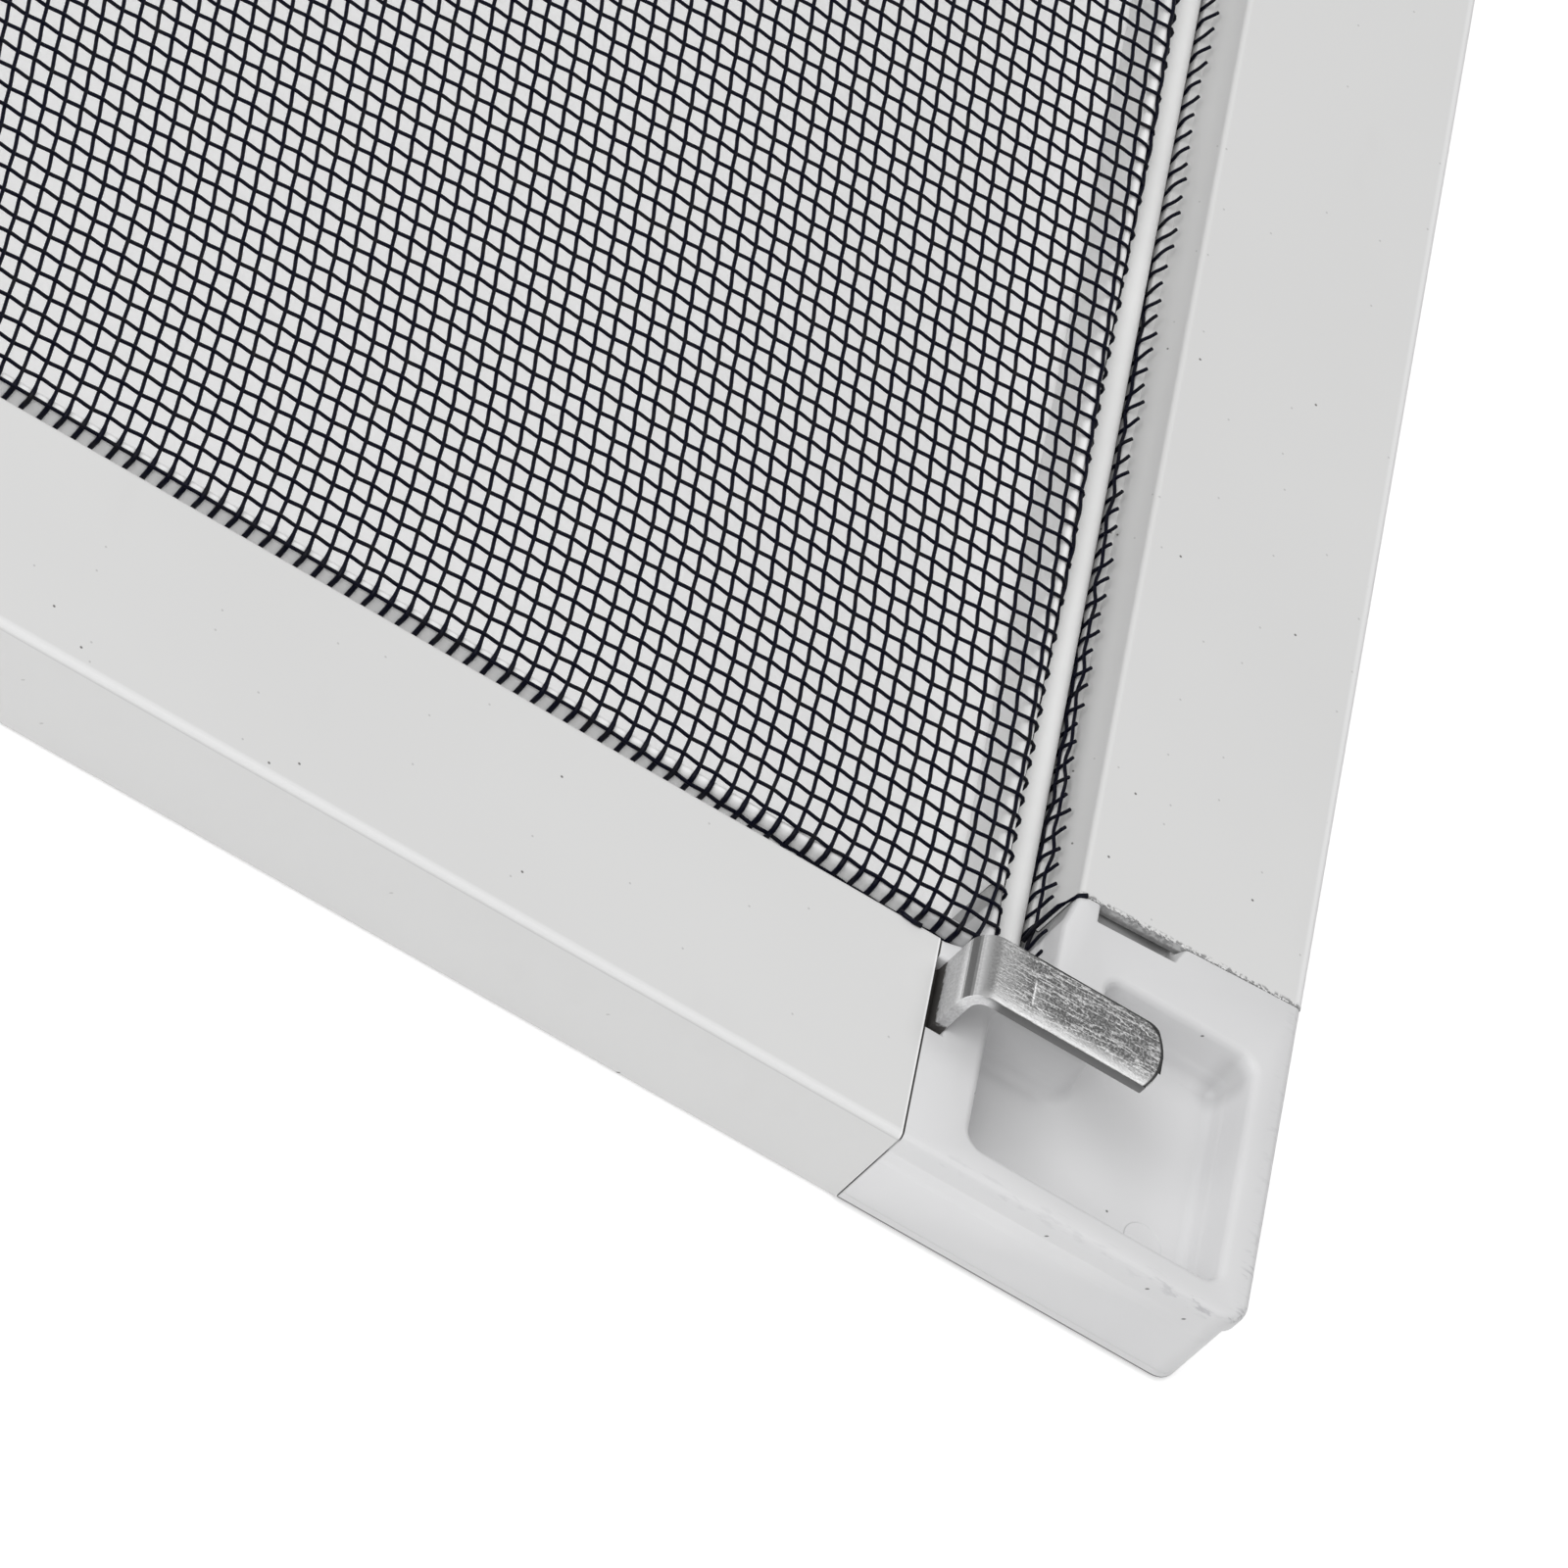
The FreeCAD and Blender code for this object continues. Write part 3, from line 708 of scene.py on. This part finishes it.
HALF_STRAND = STRAND / 2
SHEET_Z = LIP_TOP + HALF_STRAND + CRIMP
FLAT_X = HALF_WIDTH - LIP_CREST
FLAT_Y = HALF_HEIGHT - LIP_CREST
OVER_LIP = LIP_RADIUS + SHEET_Z - LIP_TOP
GROOVE_LOW = GROOVE_FLOOR + HALF_STRAND
DROP = SHEET_Z - OVER_LIP - GROOVE_LOW - FOLD_RADIUS
ACROSS = LIP_CREST - OVER_LIP - LEDGE_EDGE - HALF_STRAND - 2 * FOLD_RADIUS
TAIL = TAIL_TOP - GROOVE_LOW - FOLD_RADIUS
FOLDS = (
    ("turn", OVER_LIP, -1),
    ("run", DROP, 0),
    ("turn", FOLD_RADIUS, 1),
    ("run", ACROSS, 0),
    ("turn", FOLD_RADIUS, 1),
    ("run", TAIL, 0),
)
FOLD_LENGTHS = [size * QUARTER if kind == "turn" else size for kind, size, _ in FOLDS]
FOLD_LENGTH = sum(FOLD_LENGTHS)
TAIL_START = FOLD_LENGTH - TAIL


def fold_point(along):
    """Outward reach, rise and heading of the sheet at a length past the lip's crest."""
    out = 0.0
    rise = 0.0
    heading = 0.0
    left = max(along, 0.0)
    for (kind, size, way), whole in zip(FOLDS, FOLD_LENGTHS):
        part = left if size == TAIL else min(left, whole)
        if kind == "run":
            out += part * math.cos(heading)
            rise += part * math.sin(heading)
        else:
            turned = heading + way * part / size
            out += way * size * (math.sin(turned) - math.sin(heading))
            rise += way * size * (math.cos(heading) - math.cos(turned))
            heading = turned
        left -= part
    return out, rise, heading


def tail_lift(along, from_end):
    """How far the sheet's cut edge is drawn up out of the groove near the end of a side."""
    share = max(along - TAIL_START, 0.0) / TAIL
    return TAIL_LIFT * share * smooth_step(1 - from_end / TAIL_LIFT_LENGTH)


def sheet_point(u, v):
    """Place and normal of the woven sheet for flat coordinates u across and v up."""
    past_u = abs(u) - FLAT_X
    past_v = abs(v) - FLAT_Y
    out_u, rise_u, turn_u = fold_point(past_u)
    out_v, rise_v, turn_v = fold_point(past_v)
    sign_u = math.copysign(1, u)
    sign_v = math.copysign(1, v)
    lift = tail_lift(past_u, -past_v) + tail_lift(past_v, -past_u)
    place = Vector((
        sign_u * (min(abs(u), FLAT_X) + out_u),
        sign_v * (min(abs(v), FLAT_Y) + out_v),
        SHEET_Z + (rise_u if past_u > past_v else rise_v) + lift,
    ))
    lean = TAIL_LEAN * max(place.z - TAIL_LEAN_ABOVE, 0.0) * smooth_step((SIDE_CUT - abs(v)) / TAIL_LEAN_EASE)
    if past_u > TAIL_START:
        place.x += sign_u * lean
    if past_v > TAIL_START:
        place.y += sign_v * lean * smooth_step((FLAT_CUT - abs(u)) / TAIL_LEAN_EASE)
    normal = Vector((
        -sign_u * math.sin(turn_u),
        -sign_v * math.sin(turn_v),
        LEAST_NORMAL_RISE + abs(math.cos(turn_u) * math.cos(turn_v)),
    ))
    return place, normal.normalized()


def weft_shift(x):
    """How far the weft is pulled down at a place across the frame."""
    from_right = HALF_WIDTH - FACE_WIDTH - x
    return -WEFT_DIP * smooth_step((WEFT_DIP_FROM - from_right) / (WEFT_DIP_FROM - WEFT_DIP_TO))


def warp_shift(x, y):
    """How far the warp is pushed aside at a place in the frame."""
    up = y + HALF_HEIGHT - FACE_WIDTH
    above = max(up - WARP_LEAN_FROM, 0.0)
    lean = -WARP_LEAN * above * math.exp(-(above / WARP_LEAN_FADE) ** 2)
    from_right = HALF_WIDTH - FACE_WIDTH - x
    far = smooth_step(from_right / WARP_FOOT_FADE_OVER)
    fade = WARP_FOOT_FADE + (WARP_FOOT_FADE_FAR - WARP_FOOT_FADE) * far
    foot = -WARP_FOOT * math.exp(-max(up - WARP_FOOT_AT, 0.0) / fade)
    lean *= smooth_step((WARP_LEAN_REACH - from_right) / WARP_LEAN_EASE)
    return lean + foot * smooth_step((NEAR_LEFT - from_right) / WARP_FOOT_EASE)


class TubeMesh:
    """Collects strands as tubes of a few flat sides, with or without closed ends."""

    def __init__(self, sides, width, closed):
        self.sides = sides
        self.closed = closed
        self.radius = width / 2 / math.cos(math.pi / sides)
        self.points = []
        self.faces = []

    def add(self, line, normals, widths):
        first = len(self.points)
        count = len(line)
        for index, (place, normal, width) in enumerate(zip(line, normals, widths)):
            ahead = line[min(index + 1, count - 1)] - line[max(index - 1, 0)]
            side = ahead.cross(normal).normalized()
            up = side.cross(ahead).normalized()
            for corner in range(self.sides):
                angle = 2 * math.pi * (corner + 0.5) / self.sides
                offset = side * math.cos(angle) + up * math.sin(angle)
                self.points.append((place + offset * self.radius * width) * MM)
        for ring in range(count - 1):
            for corner in range(self.sides):
                a = first + ring * self.sides + corner
                b = first + ring * self.sides + (corner + 1) % self.sides
                self.faces.append((a, b, b + self.sides, a + self.sides))
        if self.closed:
            last = first + (count - 1) * self.sides
            self.faces.append(tuple(first + corner for corner in reversed(range(self.sides))))
            self.faces.append(tuple(last + corner for corner in range(self.sides)))

    def build(self, name, smooth):
        return add_object(name, new_mesh(name, self.points, self.faces, smooth))


def strand_numbers(first, pitch, reach):
    """Numbers of the strands at a pitch through a first place, within a reach each side."""
    low = math.ceil((-reach - first) / pitch)
    high = math.floor((reach - first) / pitch)
    return range(low, high + 1)


def weave_line(along_y, number, stops, crimp, wander):
    """Points, normals and relative widths of one strand through stops along its run."""
    line = []
    normals = []
    widths = []
    for stop in stops:
        slip = STRAND_WANDER * math.sin(stop / STRAND_WANDER_LENGTH + wander)
        if along_y:
            place = WARP_PLACE + number * WARP_PITCH + slip
            u = place + warp_shift(place, stop)
            v = stop
            past = abs(u) - FLAT_X
            push = CREST_PUSH * smooth_step((past - CREST_PUSH_FROM) / CREST_PUSH_EASE)
            into_tail = past + push - TAIL_START
            bunch = max(TAIL_BUNCH - TAIL_BUNCH_LESS * into_tail, 0.0)
            bunch *= smooth_step(into_tail / TAIL_BUNCH_EASE + TAIL_BUNCH_AHEAD)
            push += bunch * smooth_step((SIDE_CUT - TAIL_BUNCH_CLEAR - abs(v)) / TAIL_BUNCH_FADE)
            u += math.copysign(1, u) * push
            phase = (stop - WEFT_PLACE - weft_shift(u)) / WEFT_PITCH
            in_tail = abs(u) - FLAT_X > TAIL_START
        else:
            u = stop
            v = WEFT_PLACE + number * WEFT_PITCH + slip + weft_shift(stop)
            phase = (stop - WARP_PLACE - warp_shift(stop, v)) / WARP_PITCH + 1
            in_tail = abs(v) - FLAT_Y > TAIL_START
        if in_tail:
            stray = TAIL_WANDER * math.sin(stop / TAIL_WANDER_LENGTH * 2 * math.pi + wander * 3)
            u += stray * along_y
            v += stray * (not along_y)
        spot, normal = sheet_point(u, v)
        wave = crimp * math.cos(math.pi * (phase + number))
        line.append(spot + normal * wave)
        normals.append(normal)
        bent = smooth_step(abs(v) - FLAT_Y + BEND_START) if along_y else 0.0
        widths.append(1 + BEND_THICKENING * bent)
    return line, normals, widths


def fold_stops(flat, end):
    """Coarse stops over the lip and along the groove, outwards from the flat part to a strand's end."""
    stops = []
    length = flat
    for (kind, size, _), whole in zip(FOLDS, FOLD_LENGTHS):
        count = FAR_TURN_STOPS if kind == "turn" else 1
        stops += [length + whole * (index + 1) / count for index in range(count)]
        length += whole
    return [stop for stop in stops if stop < end - FAR_LEAST_STOP] + [end]


def near_limit(along_y, number):
    """How far along its run a strand is seen close up, or nothing where it isn't."""
    corner_x = HALF_WIDTH - FACE_WIDTH
    corner_y = FACE_WIDTH - HALF_HEIGHT
    if along_y:
        across = WARP_PLACE + number * WARP_PITCH - corner_x + NEAR_LEFT
        if across < 0:
            return None
        limit = corner_y + NEAR_RISE_START + across * NEAR_RISE + NEAR_MARGIN
        return WEFT_PLACE + WEFT_PITCH * (round((limit - WEFT_PLACE) / WEFT_PITCH) + 0.5)
    up = WEFT_PLACE + number * WEFT_PITCH - corner_y
    if up > NEAR_UP:
        return None
    limit = corner_x - NEAR_LEFT + max(up - NEAR_RISE_START, 0) / NEAR_RISE - NEAR_MARGIN
    return WARP_PLACE + WARP_PITCH * (round((limit - WARP_PLACE) / WARP_PITCH) + 0.5)


def add_strand(far, near, along_y, number, chance):
    """Adds one strand from cut edge to cut edge, the part of it that is seen close up in finer steps."""
    flat, cross_flat = (FLAT_Y, FLAT_X) if along_y else (FLAT_X, FLAT_Y)
    first, pitch = (WARP_PLACE, WARP_PITCH) if along_y else (WEFT_PLACE, WEFT_PITCH)
    cross_pitch = WEFT_PITCH if along_y else WARP_PITCH
    wander = chance.uniform(0, 2 * math.pi)
    low_end = flat + FOLD_LENGTH + chance.uniform(-TAIL_SPREAD, TAIL_SPREAD)
    high_end = flat + FOLD_LENGTH + chance.uniform(-TAIL_SPREAD, TAIL_SPREAD)
    stops = spread(-flat, flat, FAR_WARP_STOPS if along_y else FAR_WEFT_STOPS)
    if abs(first + number * pitch) > cross_flat + OVER_LIP:
        low_end = high_end = flat + OVER_LIP
        stops = [-low_end] + stops[1:-1] + [high_end]
    else:
        low_stops = [-stop for stop in reversed(fold_stops(flat, low_end))]
        stops = low_stops + stops + fold_stops(flat, high_end)
    limit = near_limit(along_y, number)
    if limit is not None:
        step = cross_pitch / NEAR_STEPS
        if along_y:
            fine = spread(-low_end, limit, round((limit + low_end) / step))
            stops = [limit] + [stop for stop in stops if stop > limit + NEAR_LEAST_STOP]
        else:
            fine = spread(limit, high_end, round((high_end - limit) / step))
            stops = [stop for stop in stops if stop < limit - NEAR_LEAST_STOP] + [limit]
        near.add(*weave_line(along_y, number, fine, CRIMP, wander))
    far.add(*weave_line(along_y, number, stops, 0.0, wander))


def make_weave(material):
    """Woven sheet with its loose strands: one coarse piece, and two fine ones where it is seen close up."""
    chance = random.Random(WEAVE_SEED)
    far = TubeMesh(FAR_SIDES, FAR_STRAND, False)
    warp = TubeMesh(NEAR_SIDES, STRAND, True)
    weft = TubeMesh(NEAR_SIDES, STRAND, True)
    warp_reach = FLAT_X + FOLD_LENGTH - CREST_PUSH - TAIL_SPREAD
    weft_reach = FLAT_Y + FOLD_LENGTH - TAIL_SPREAD
    for number in strand_numbers(WARP_PLACE, WARP_PITCH, warp_reach):
        add_strand(far, warp, True, number, chance)
    for number in strand_numbers(WEFT_PLACE, WEFT_PITCH, weft_reach):
        add_strand(far, weft, False, number, chance)
    for route in LOOSE_STRANDS:
        places = [Vector(place) for place in route]
        count = len(places)
        warp.add(places, [Vector(LOOSE_NORMAL)] * count, [1 + LOOSE_THICKENING] * count)
    pieces = (
        far.build("mesh_weave", False),
        warp.build("mesh_near_warp", True),
        weft.build("mesh_near_weft", True),
    )
    for piece in pieces:
        piece.data.materials.append(material)
        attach(piece, "root")
    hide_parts("insect_mesh")


# Corner connectors

def side_seam(from_outside):
    """Width of the seam at a side rail's cut: tight inside, widest beside the notch."""
    if from_outside > NOTCH_OUTER_SIDE + 1:
        return SIDE_SEAM_INSIDE
    share = max(from_outside, 0.0) / NOTCH_OUTER_SIDE
    return SIDE_SEAM_OUTSIDE + (SIDE_SEAM_MIDDLE - SIDE_SEAM_OUTSIDE) * share


def shape_notch(shape):
    """Gives the side arm's notch a floor that rises inwards and a ramp at its outer end."""
    notch_end = HALF_WIDTH - NOTCH_OUTER_SIDE
    for vertex in shape.verts:
        place = vertex.co
        if not notch_end - NOTCH_WIDTH < place.x < notch_end + NOTCH_TOUCH:
            continue
        if place.y >= SIDE_CUT + NOTCH_DEPTH + NOTCH_TOUCH:
            continue
        outer = abs(place.x - notch_end) < NOTCH_TOUCH
        at_edge = abs(place.z - FACE_Z) < NOTCH_TOUCH and abs(place.y - SIDE_CUT) < NOTCH_TOUCH
        if abs(place.z - NOTCH_FLOOR) < NOTCH_TOUCH:
            place.x -= NOTCH_RAMP * outer
            place.z += NOTCH_FLOOR_RISE * (not outer)
        elif outer and at_edge:
            place.x += NOTCH_RAMP * NOTCH_SPLAY


def cut_blend(from_cut):
    """How much of a cut's shift the moulding takes at a distance from the cut."""
    return smooth_step((CUT_BLEND_END - from_cut) / (CUT_BLEND_END - CUT_BLEND_START))


def move_to_cuts(vertex):
    """Brings the ends of the moulding's arms to the rails' real cuts, but for the seams."""
    from_flat = vertex.co.x - FLAT_CUT
    from_side = vertex.co.y - SIDE_CUT
    if from_flat > -CUT_TOUCH:
        vertex.co.x += FLAT_CUT_SHIFT * cut_blend(from_flat) + FLAT_SEAM * (from_flat < CUT_TOUCH)
    if from_side > -CUT_TOUCH:
        seam = side_seam(HALF_WIDTH - vertex.co.x) * (from_side < CUT_TOUCH)
        vertex.co.y += seam - side_cut_shift(vertex.co.x) * cut_blend(from_side)


def add_flange(shape):
    """Steps the outer walls back under the rim of the face."""
    for height in (FLANGE_Z, FLANGE_Z - FLANGE_STEP):
        everything = shape.verts[:] + shape.edges[:] + shape.faces[:]
        bmesh.ops.bisect_plane(shape, geom=everything, plane_co=(0, 0, height), plane_no=(0, 0, 1))
    for vertex in shape.verts:
        if vertex.co.z < FLANGE_Z - FLANGE_STEP / 2:
            out = (vertex.co.x - HALF_WIDTH + CORNER_RADIUS) / CORNER_RADIUS
            vertex.co.x -= FLANGE_OVERHANG * smooth_step(out)


def outside_rails(vertex):
    """Whether a point of the moulding lies in the open, beyond both rails' cuts and clear of its foot."""
    place = vertex.co
    beyond_cuts = place.x > FLAT_CUT - CUT_TOUCH and place.y > SIDE_CUT - CUT_TOUCH
    return beyond_cuts and place.z > SOFTENED_ABOVE


def on_pocket_floor(vertex):
    return abs(vertex.co.z - POCKET_FLOOR_Z) < POCKET_TOUCH


def round_edges(shape, edges, offset, steps):
    bmesh.ops.bevel(
        shape, geom=edges, offset=offset, offset_type="OFFSET", segments=steps,
        profile=0.5, affect="EDGES", clamp_overlap=True)


def soften_edges(shape):
    """Rounds the edges that show, those round the pocket's floor most."""
    sharp = [
        edge for edge in shape.edges
        if edge.calc_face_angle(0) > math.radians(SHARP_ANGLE) and all(map(outside_rails, edge.verts))
    ]
    pocket = [edge for edge in sharp if all(map(on_pocket_floor, edge.verts))]
    round_edges(shape, pocket, POCKET_SOFTENING, POCKET_STEPS)
    edges = [edge for edge in sharp if edge.is_valid and edge not in pocket]
    round_edges(shape, edges, EDGE_SOFTENING, EDGE_STEPS)


def make_connector(corner, material):
    """Moulded corner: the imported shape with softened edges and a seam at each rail's cut."""
    side_x, side_y = corner_signs(corner)
    shape = bmesh.new()
    shape.from_mesh(NODES[corner + "_connector"].data)
    bmesh.ops.scale(shape, vec=(side_x / MM, side_y / MM, 1 / MM), verts=shape.verts)
    bmesh.ops.remove_doubles(shape, verts=shape.verts, dist=WELD_DISTANCE)
    bmesh.ops.dissolve_limit(
        shape, angle_limit=math.radians(FLAT_ANGLE), verts=shape.verts, edges=shape.edges)
    add_flange(shape)
    shape_notch(shape)
    soften_edges(shape)
    for vertex in shape.verts:
        move_to_cuts(vertex)
        in_x = HALF_WIDTH - vertex.co.x
        in_y = HALF_HEIGHT - vertex.co.y
        if min(in_x, in_y) > LIP_GROOVE_SIDE:
            vertex.co.x = HALF_WIDTH - thinned(in_x, vertex.co.z)
            vertex.co.y = HALF_HEIGHT - thinned(in_y, vertex.co.z)
    bmesh.ops.scale(shape, vec=(side_x * MM, side_y * MM, MM), verts=shape.verts)
    mesh = bpy.data.meshes.new(corner + "_moulding")
    shape.to_mesh(mesh)
    shape.free()
    mesh.polygons.foreach_set("use_smooth", [True] * len(mesh.polygons))
    mesh.set_sharp_from_angle(angle=math.radians(SHADED_SHARP_ANGLE))
    mesh.materials.append(material)
    piece = add_object(corner + "_moulding", mesh)
    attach(piece, "root")
    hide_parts(corner + "_connector")


def burr(chance):
    """Corners of one flake at the cut of the top right rail."""
    along = HALF_WIDTH - chance.uniform(*BURR_INSETS)
    cut = SIDE_CUT - side_cut_shift(along)
    length = chance.uniform(*BURR_LENGTHS)
    lean = chance.uniform(*BURR_LEANS)
    reach = chance.uniform(*BURR_REACHES)
    rise = chance.uniform(*BURR_RISES)
    back = chance.uniform(*BURR_ROOTS)
    root_z = FACE_Z - BURR_SUNK
    return (
        (along, cut - back, root_z),
        (along + length, cut - back * 0.6, root_z),
        (along + length * 0.7 + lean, cut + reach, FACE_Z + rise),
        (along + length * 0.2 + lean, cut + reach * 0.6, FACE_Z + rise * 0.5),
        (along + length * 0.5, cut, FACE_Z - BURR_DEPTH),
    )


def make_burrs(material):
    """Ragged flakes of coating along the saw cuts of the side rails."""
    chance = random.Random(BURR_SEED)
    points = []
    faces = []
    for side_x, side_y in ((-1, -1), (-1, 1), (1, -1), (1, 1)):
        for _ in range(BURRS):
            first = len(points)
            points += [Vector((side_x * x, side_y * y, z)) * MM for x, y, z in burr(chance)]
            faces += [tuple(first + corner for corner in corners) for corners in BURR_FACES]
    mesh = new_mesh("saw_burrs", points, faces)
    mesh.materials.append(material)
    piece = add_object("saw_burrs", mesh)
    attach(piece, "root")


# Hooks

def hook_path():
    """Middle line of the strip from its tail's end to its tip, as (x, z, slope)."""
    middle = HOOK_THICKNESS / 2
    tail_z = HOOK_TAIL_TOP - middle
    top_z = HOOK_TOP - middle
    riser_x = HOOK_RISER + middle
    low_bend = HOOK_TAIL_BEND_RADIUS + middle
    high_bend = HOOK_BEND_RADIUS + middle
    tip_start = HOOK_REACH - HOOK_TIP_BULGE - HOOK_TIP_CORNER
    path = [(x, tail_z, 0.0) for x in spread(-HOOK_TAIL_LENGTH, riser_x - low_bend, 6)]
    for turn in spread(0, QUARTER, 8)[1:]:
        x = riser_x - low_bend + low_bend * math.sin(turn)
        path.append((x, tail_z + low_bend - low_bend * math.cos(turn), turn))
    riser = spread(tail_z + low_bend, top_z - high_bend, 5)
    path += [(riser_x, z, QUARTER) for z in riser[1:]]
    for turn in spread(0, QUARTER, 14)[1:]:
        x = riser_x + high_bend - high_bend * math.cos(turn)
        path.append((x, top_z - high_bend + high_bend * math.sin(turn), QUARTER - turn))
    flat = spread(riser_x + high_bend, tip_start, 14)
    tip = spread(tip_start, HOOK_REACH - HOOK_TIP_END, 20)
    return path + [(x, top_z, 0.0) for x in flat[1:] + tip[1:]]


def hook_half_width(x, corner):
    """Half the strip's width at a distance from the rail's cut, drawn in round a corner of the tip."""
    half = HOOK_WIDTH / 2
    arc_half = half * math.sqrt(max(HOOK_REACH - x, 0.0) / HOOK_TIP_BULGE)
    start = HOOK_REACH - HOOK_TIP_BULGE * ((half - corner) / half) ** 2 - corner
    into = min(max(x - start, 0.0) / corner, 1.0)
    corner_half = half - corner * (1 - math.sqrt(1 - into * into))
    return min(corner_half, arc_half)


def hook_section(near, far, rolled):
    """Outline of the strip as (across, up): its near edge rolled over, its far edge bevelled."""
    thick = HOOK_THICKNESS / 2
    near_edge = min(HOOK_EDGE, HOOK_WIDTH / 2 - near + HOOK_LEAST_EDGE)
    roll_end = min(HOOK_ROLL_WIDTH - HOOK_WIDTH / 2, far - 2 * HOOK_EDGE)
    roll = spread(near_edge - near, roll_end, 10)
    rest = spread(roll_end, far - HOOK_EDGE, 5)
    top = []
    for place in roll + rest[1:]:
        into = max(HOOK_ROLL_WIDTH - (place + HOOK_WIDTH / 2), 0.0) / HOOK_ROLL_WIDTH
        top.append((place, thick - HOOK_ROLL_DROP * into * into * rolled))
    outline = [(-near, top[0][1] - near_edge)] + top + [(far, thick - HOOK_EDGE)]
    return outline + [(place, -thick) for place, _ in reversed(outline)]


def hook_mesh(material):
    """Bent strip, swept along its path, with the rail's cut at X = 0."""
    rings = []
    for x, z, slope in hook_path():
        on_top = z > HOOK_TAIL_TOP and slope < QUARTER
        near = hook_half_width(x, HOOK_TIP_NEAR_CORNER) if on_top else HOOK_WIDTH / 2
        far = hook_half_width(x, HOOK_TIP_CORNER) if on_top else HOOK_WIDTH / 2
        rolled = smooth_step((x - HOOK_ROLL_START) / HOOK_ROLL_EASE) if on_top else 0.0
        rings.append([
            Vector((x - up * math.sin(slope), across, z + up * math.cos(slope))) * MM
            for across, up in hook_section(near, far, rolled)
        ])
    around = len(rings[0])
    faces = []
    for start in range(0, (len(rings) - 1) * around, around):
        for corner in range(around):
            a = start + corner
            b = start + (corner + 1) % around
            faces.append((a, a + around, b + around, b))
    last = (len(rings) - 1) * around
    faces.append(tuple(range(around)))
    faces.append(tuple(last + corner for corner in reversed(range(around))))
    mesh = new_mesh("bent_strip", [point for ring in rings for point in ring], faces, True)
    mesh.set_sharp_from_angle(angle=math.radians(HOOK_SHARP_ANGLE))
    mesh.materials.append(material)
    return mesh


def make_hooks(material):
    mesh = hook_mesh(material)
    for corner in CORNERS:
        side_x, side_y = corner_signs(corner)
        piece = add_object(corner + "_bent_strip", mesh)
        piece.location.x = side_x * (FLAT_CUT + FLAT_CUT_SHIFT) * MM
        piece.location.y = side_y * (HALF_HEIGHT - HOOK_FROM_OUTSIDE) * MM
        piece.rotation_euler.z = 0 if side_x > 0 else math.pi
        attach(piece, "root")
        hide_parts(corner + "_hook")


# Stage

def make_camera():
    data = bpy.data.cameras.new("camera")
    data.sensor_width = SENSOR_WIDTH
    data.lens = LENS
    camera = add_object("camera", data)
    place = Vector(CAMERA_PLACE) * MM
    ahead = Vector(CAMERA_TARGET) * MM - place
    roll = Quaternion((0, 0, 1), math.radians(CAMERA_ROLL))
    camera.location = place
    camera.rotation_euler = (ahead.to_track_quat("-Z", "Y") @ roll).to_euler()
    bpy.context.scene.camera = camera


def make_floor(name, half_size, height, white, glow, rail_shadow_glow):
    """Pale level sheet that glows to the camera and in reflections; a painted shadow dims the glow beside the
    right rail to a share.
    """
    half_x, half_y = half_size
    corners = [(half_x * x, half_y * y, height) for x, y in ((-1, -1), (1, -1), (1, 1), (-1, 1))]
    mesh = new_mesh(name, corners, [(0, 1, 2, 3)])
    paint = Paint(name, (white, white, white), 0.9, specular=0.0)
    paint.shader.inputs["Emission Color"].default_value = (1, 1, 1, 1)
    path = paint.node("LightPath")
    seen = paint.math("ADD", path.outputs["Is Camera Ray"], path.outputs["Is Glossy Ray"])
    seen = paint.math("MINIMUM", paint.math("ADD", seen, path.outputs["Is Transmission Ray"]), 1.0)
    # painted shadow: the glow falls to a share of itself towards the right rail
    shade = paint.rise(paint.axes()[0], CARD_SHADE_X, glow, glow * rail_shadow_glow)
    paint.feed(paint.shader.inputs["Emission Strength"], paint.times(seen, shade))
    mesh.materials.append(paint.material)
    add_object(name, mesh)


def make_softbox(name, place, size, power):
    data = bpy.data.lights.new(name, "AREA")
    data.size = size
    data.energy = power
    lamp = add_object(name, data)
    lamp.location = place
    lamp.rotation_euler = (Vector(LIGHT_TARGET) - lamp.location).to_track_quat("-Z", "Y").to_euler()


def make_lights():
    world = bpy.data.worlds.new("room")
    bpy.context.scene.world = world
    world.use_nodes = True
    background = world.node_tree.nodes["Background"]
    background.inputs["Color"].default_value = (1, 1, 1, 1)
    background.inputs["Strength"].default_value = ROOM_LIGHT
    make_softbox("key", KEY_PLACE, KEY_SIZE, KEY_POWER)
    make_softbox("fill", FILL_PLACE, FILL_SIZE, FILL_POWER)


make_camera()
make_floor("floor", FLOOR_HALF, FLOOR_HEIGHT, FLOOR_WHITE, FLOOR_GLOW, 1.0)
make_floor("card", CARD_HALF, FLOOR_HEIGHT / 2, CARD_WHITE, CARD_GLOW, CARD_RAIL_SHADOW_GLOW)
make_lights()
cord = soft_cord()
flat_coat = powder_coat("flat_rail_coat", False)
side_coat = powder_coat("side_rail_coat", True)
for side in SIDES:
    make_rail(side, flat_coat if side in ("bottom", "top") else side_coat)
    make_cord(side, cord)
make_weave(coated_strand())
plastic = moulded_plastic()
for corner in CORNERS:
    make_connector(corner, plastic)
make_burrs(torn_coat())
make_hooks(hook_steel())
bpy.context.scene.view_settings.view_transform = "Standard"
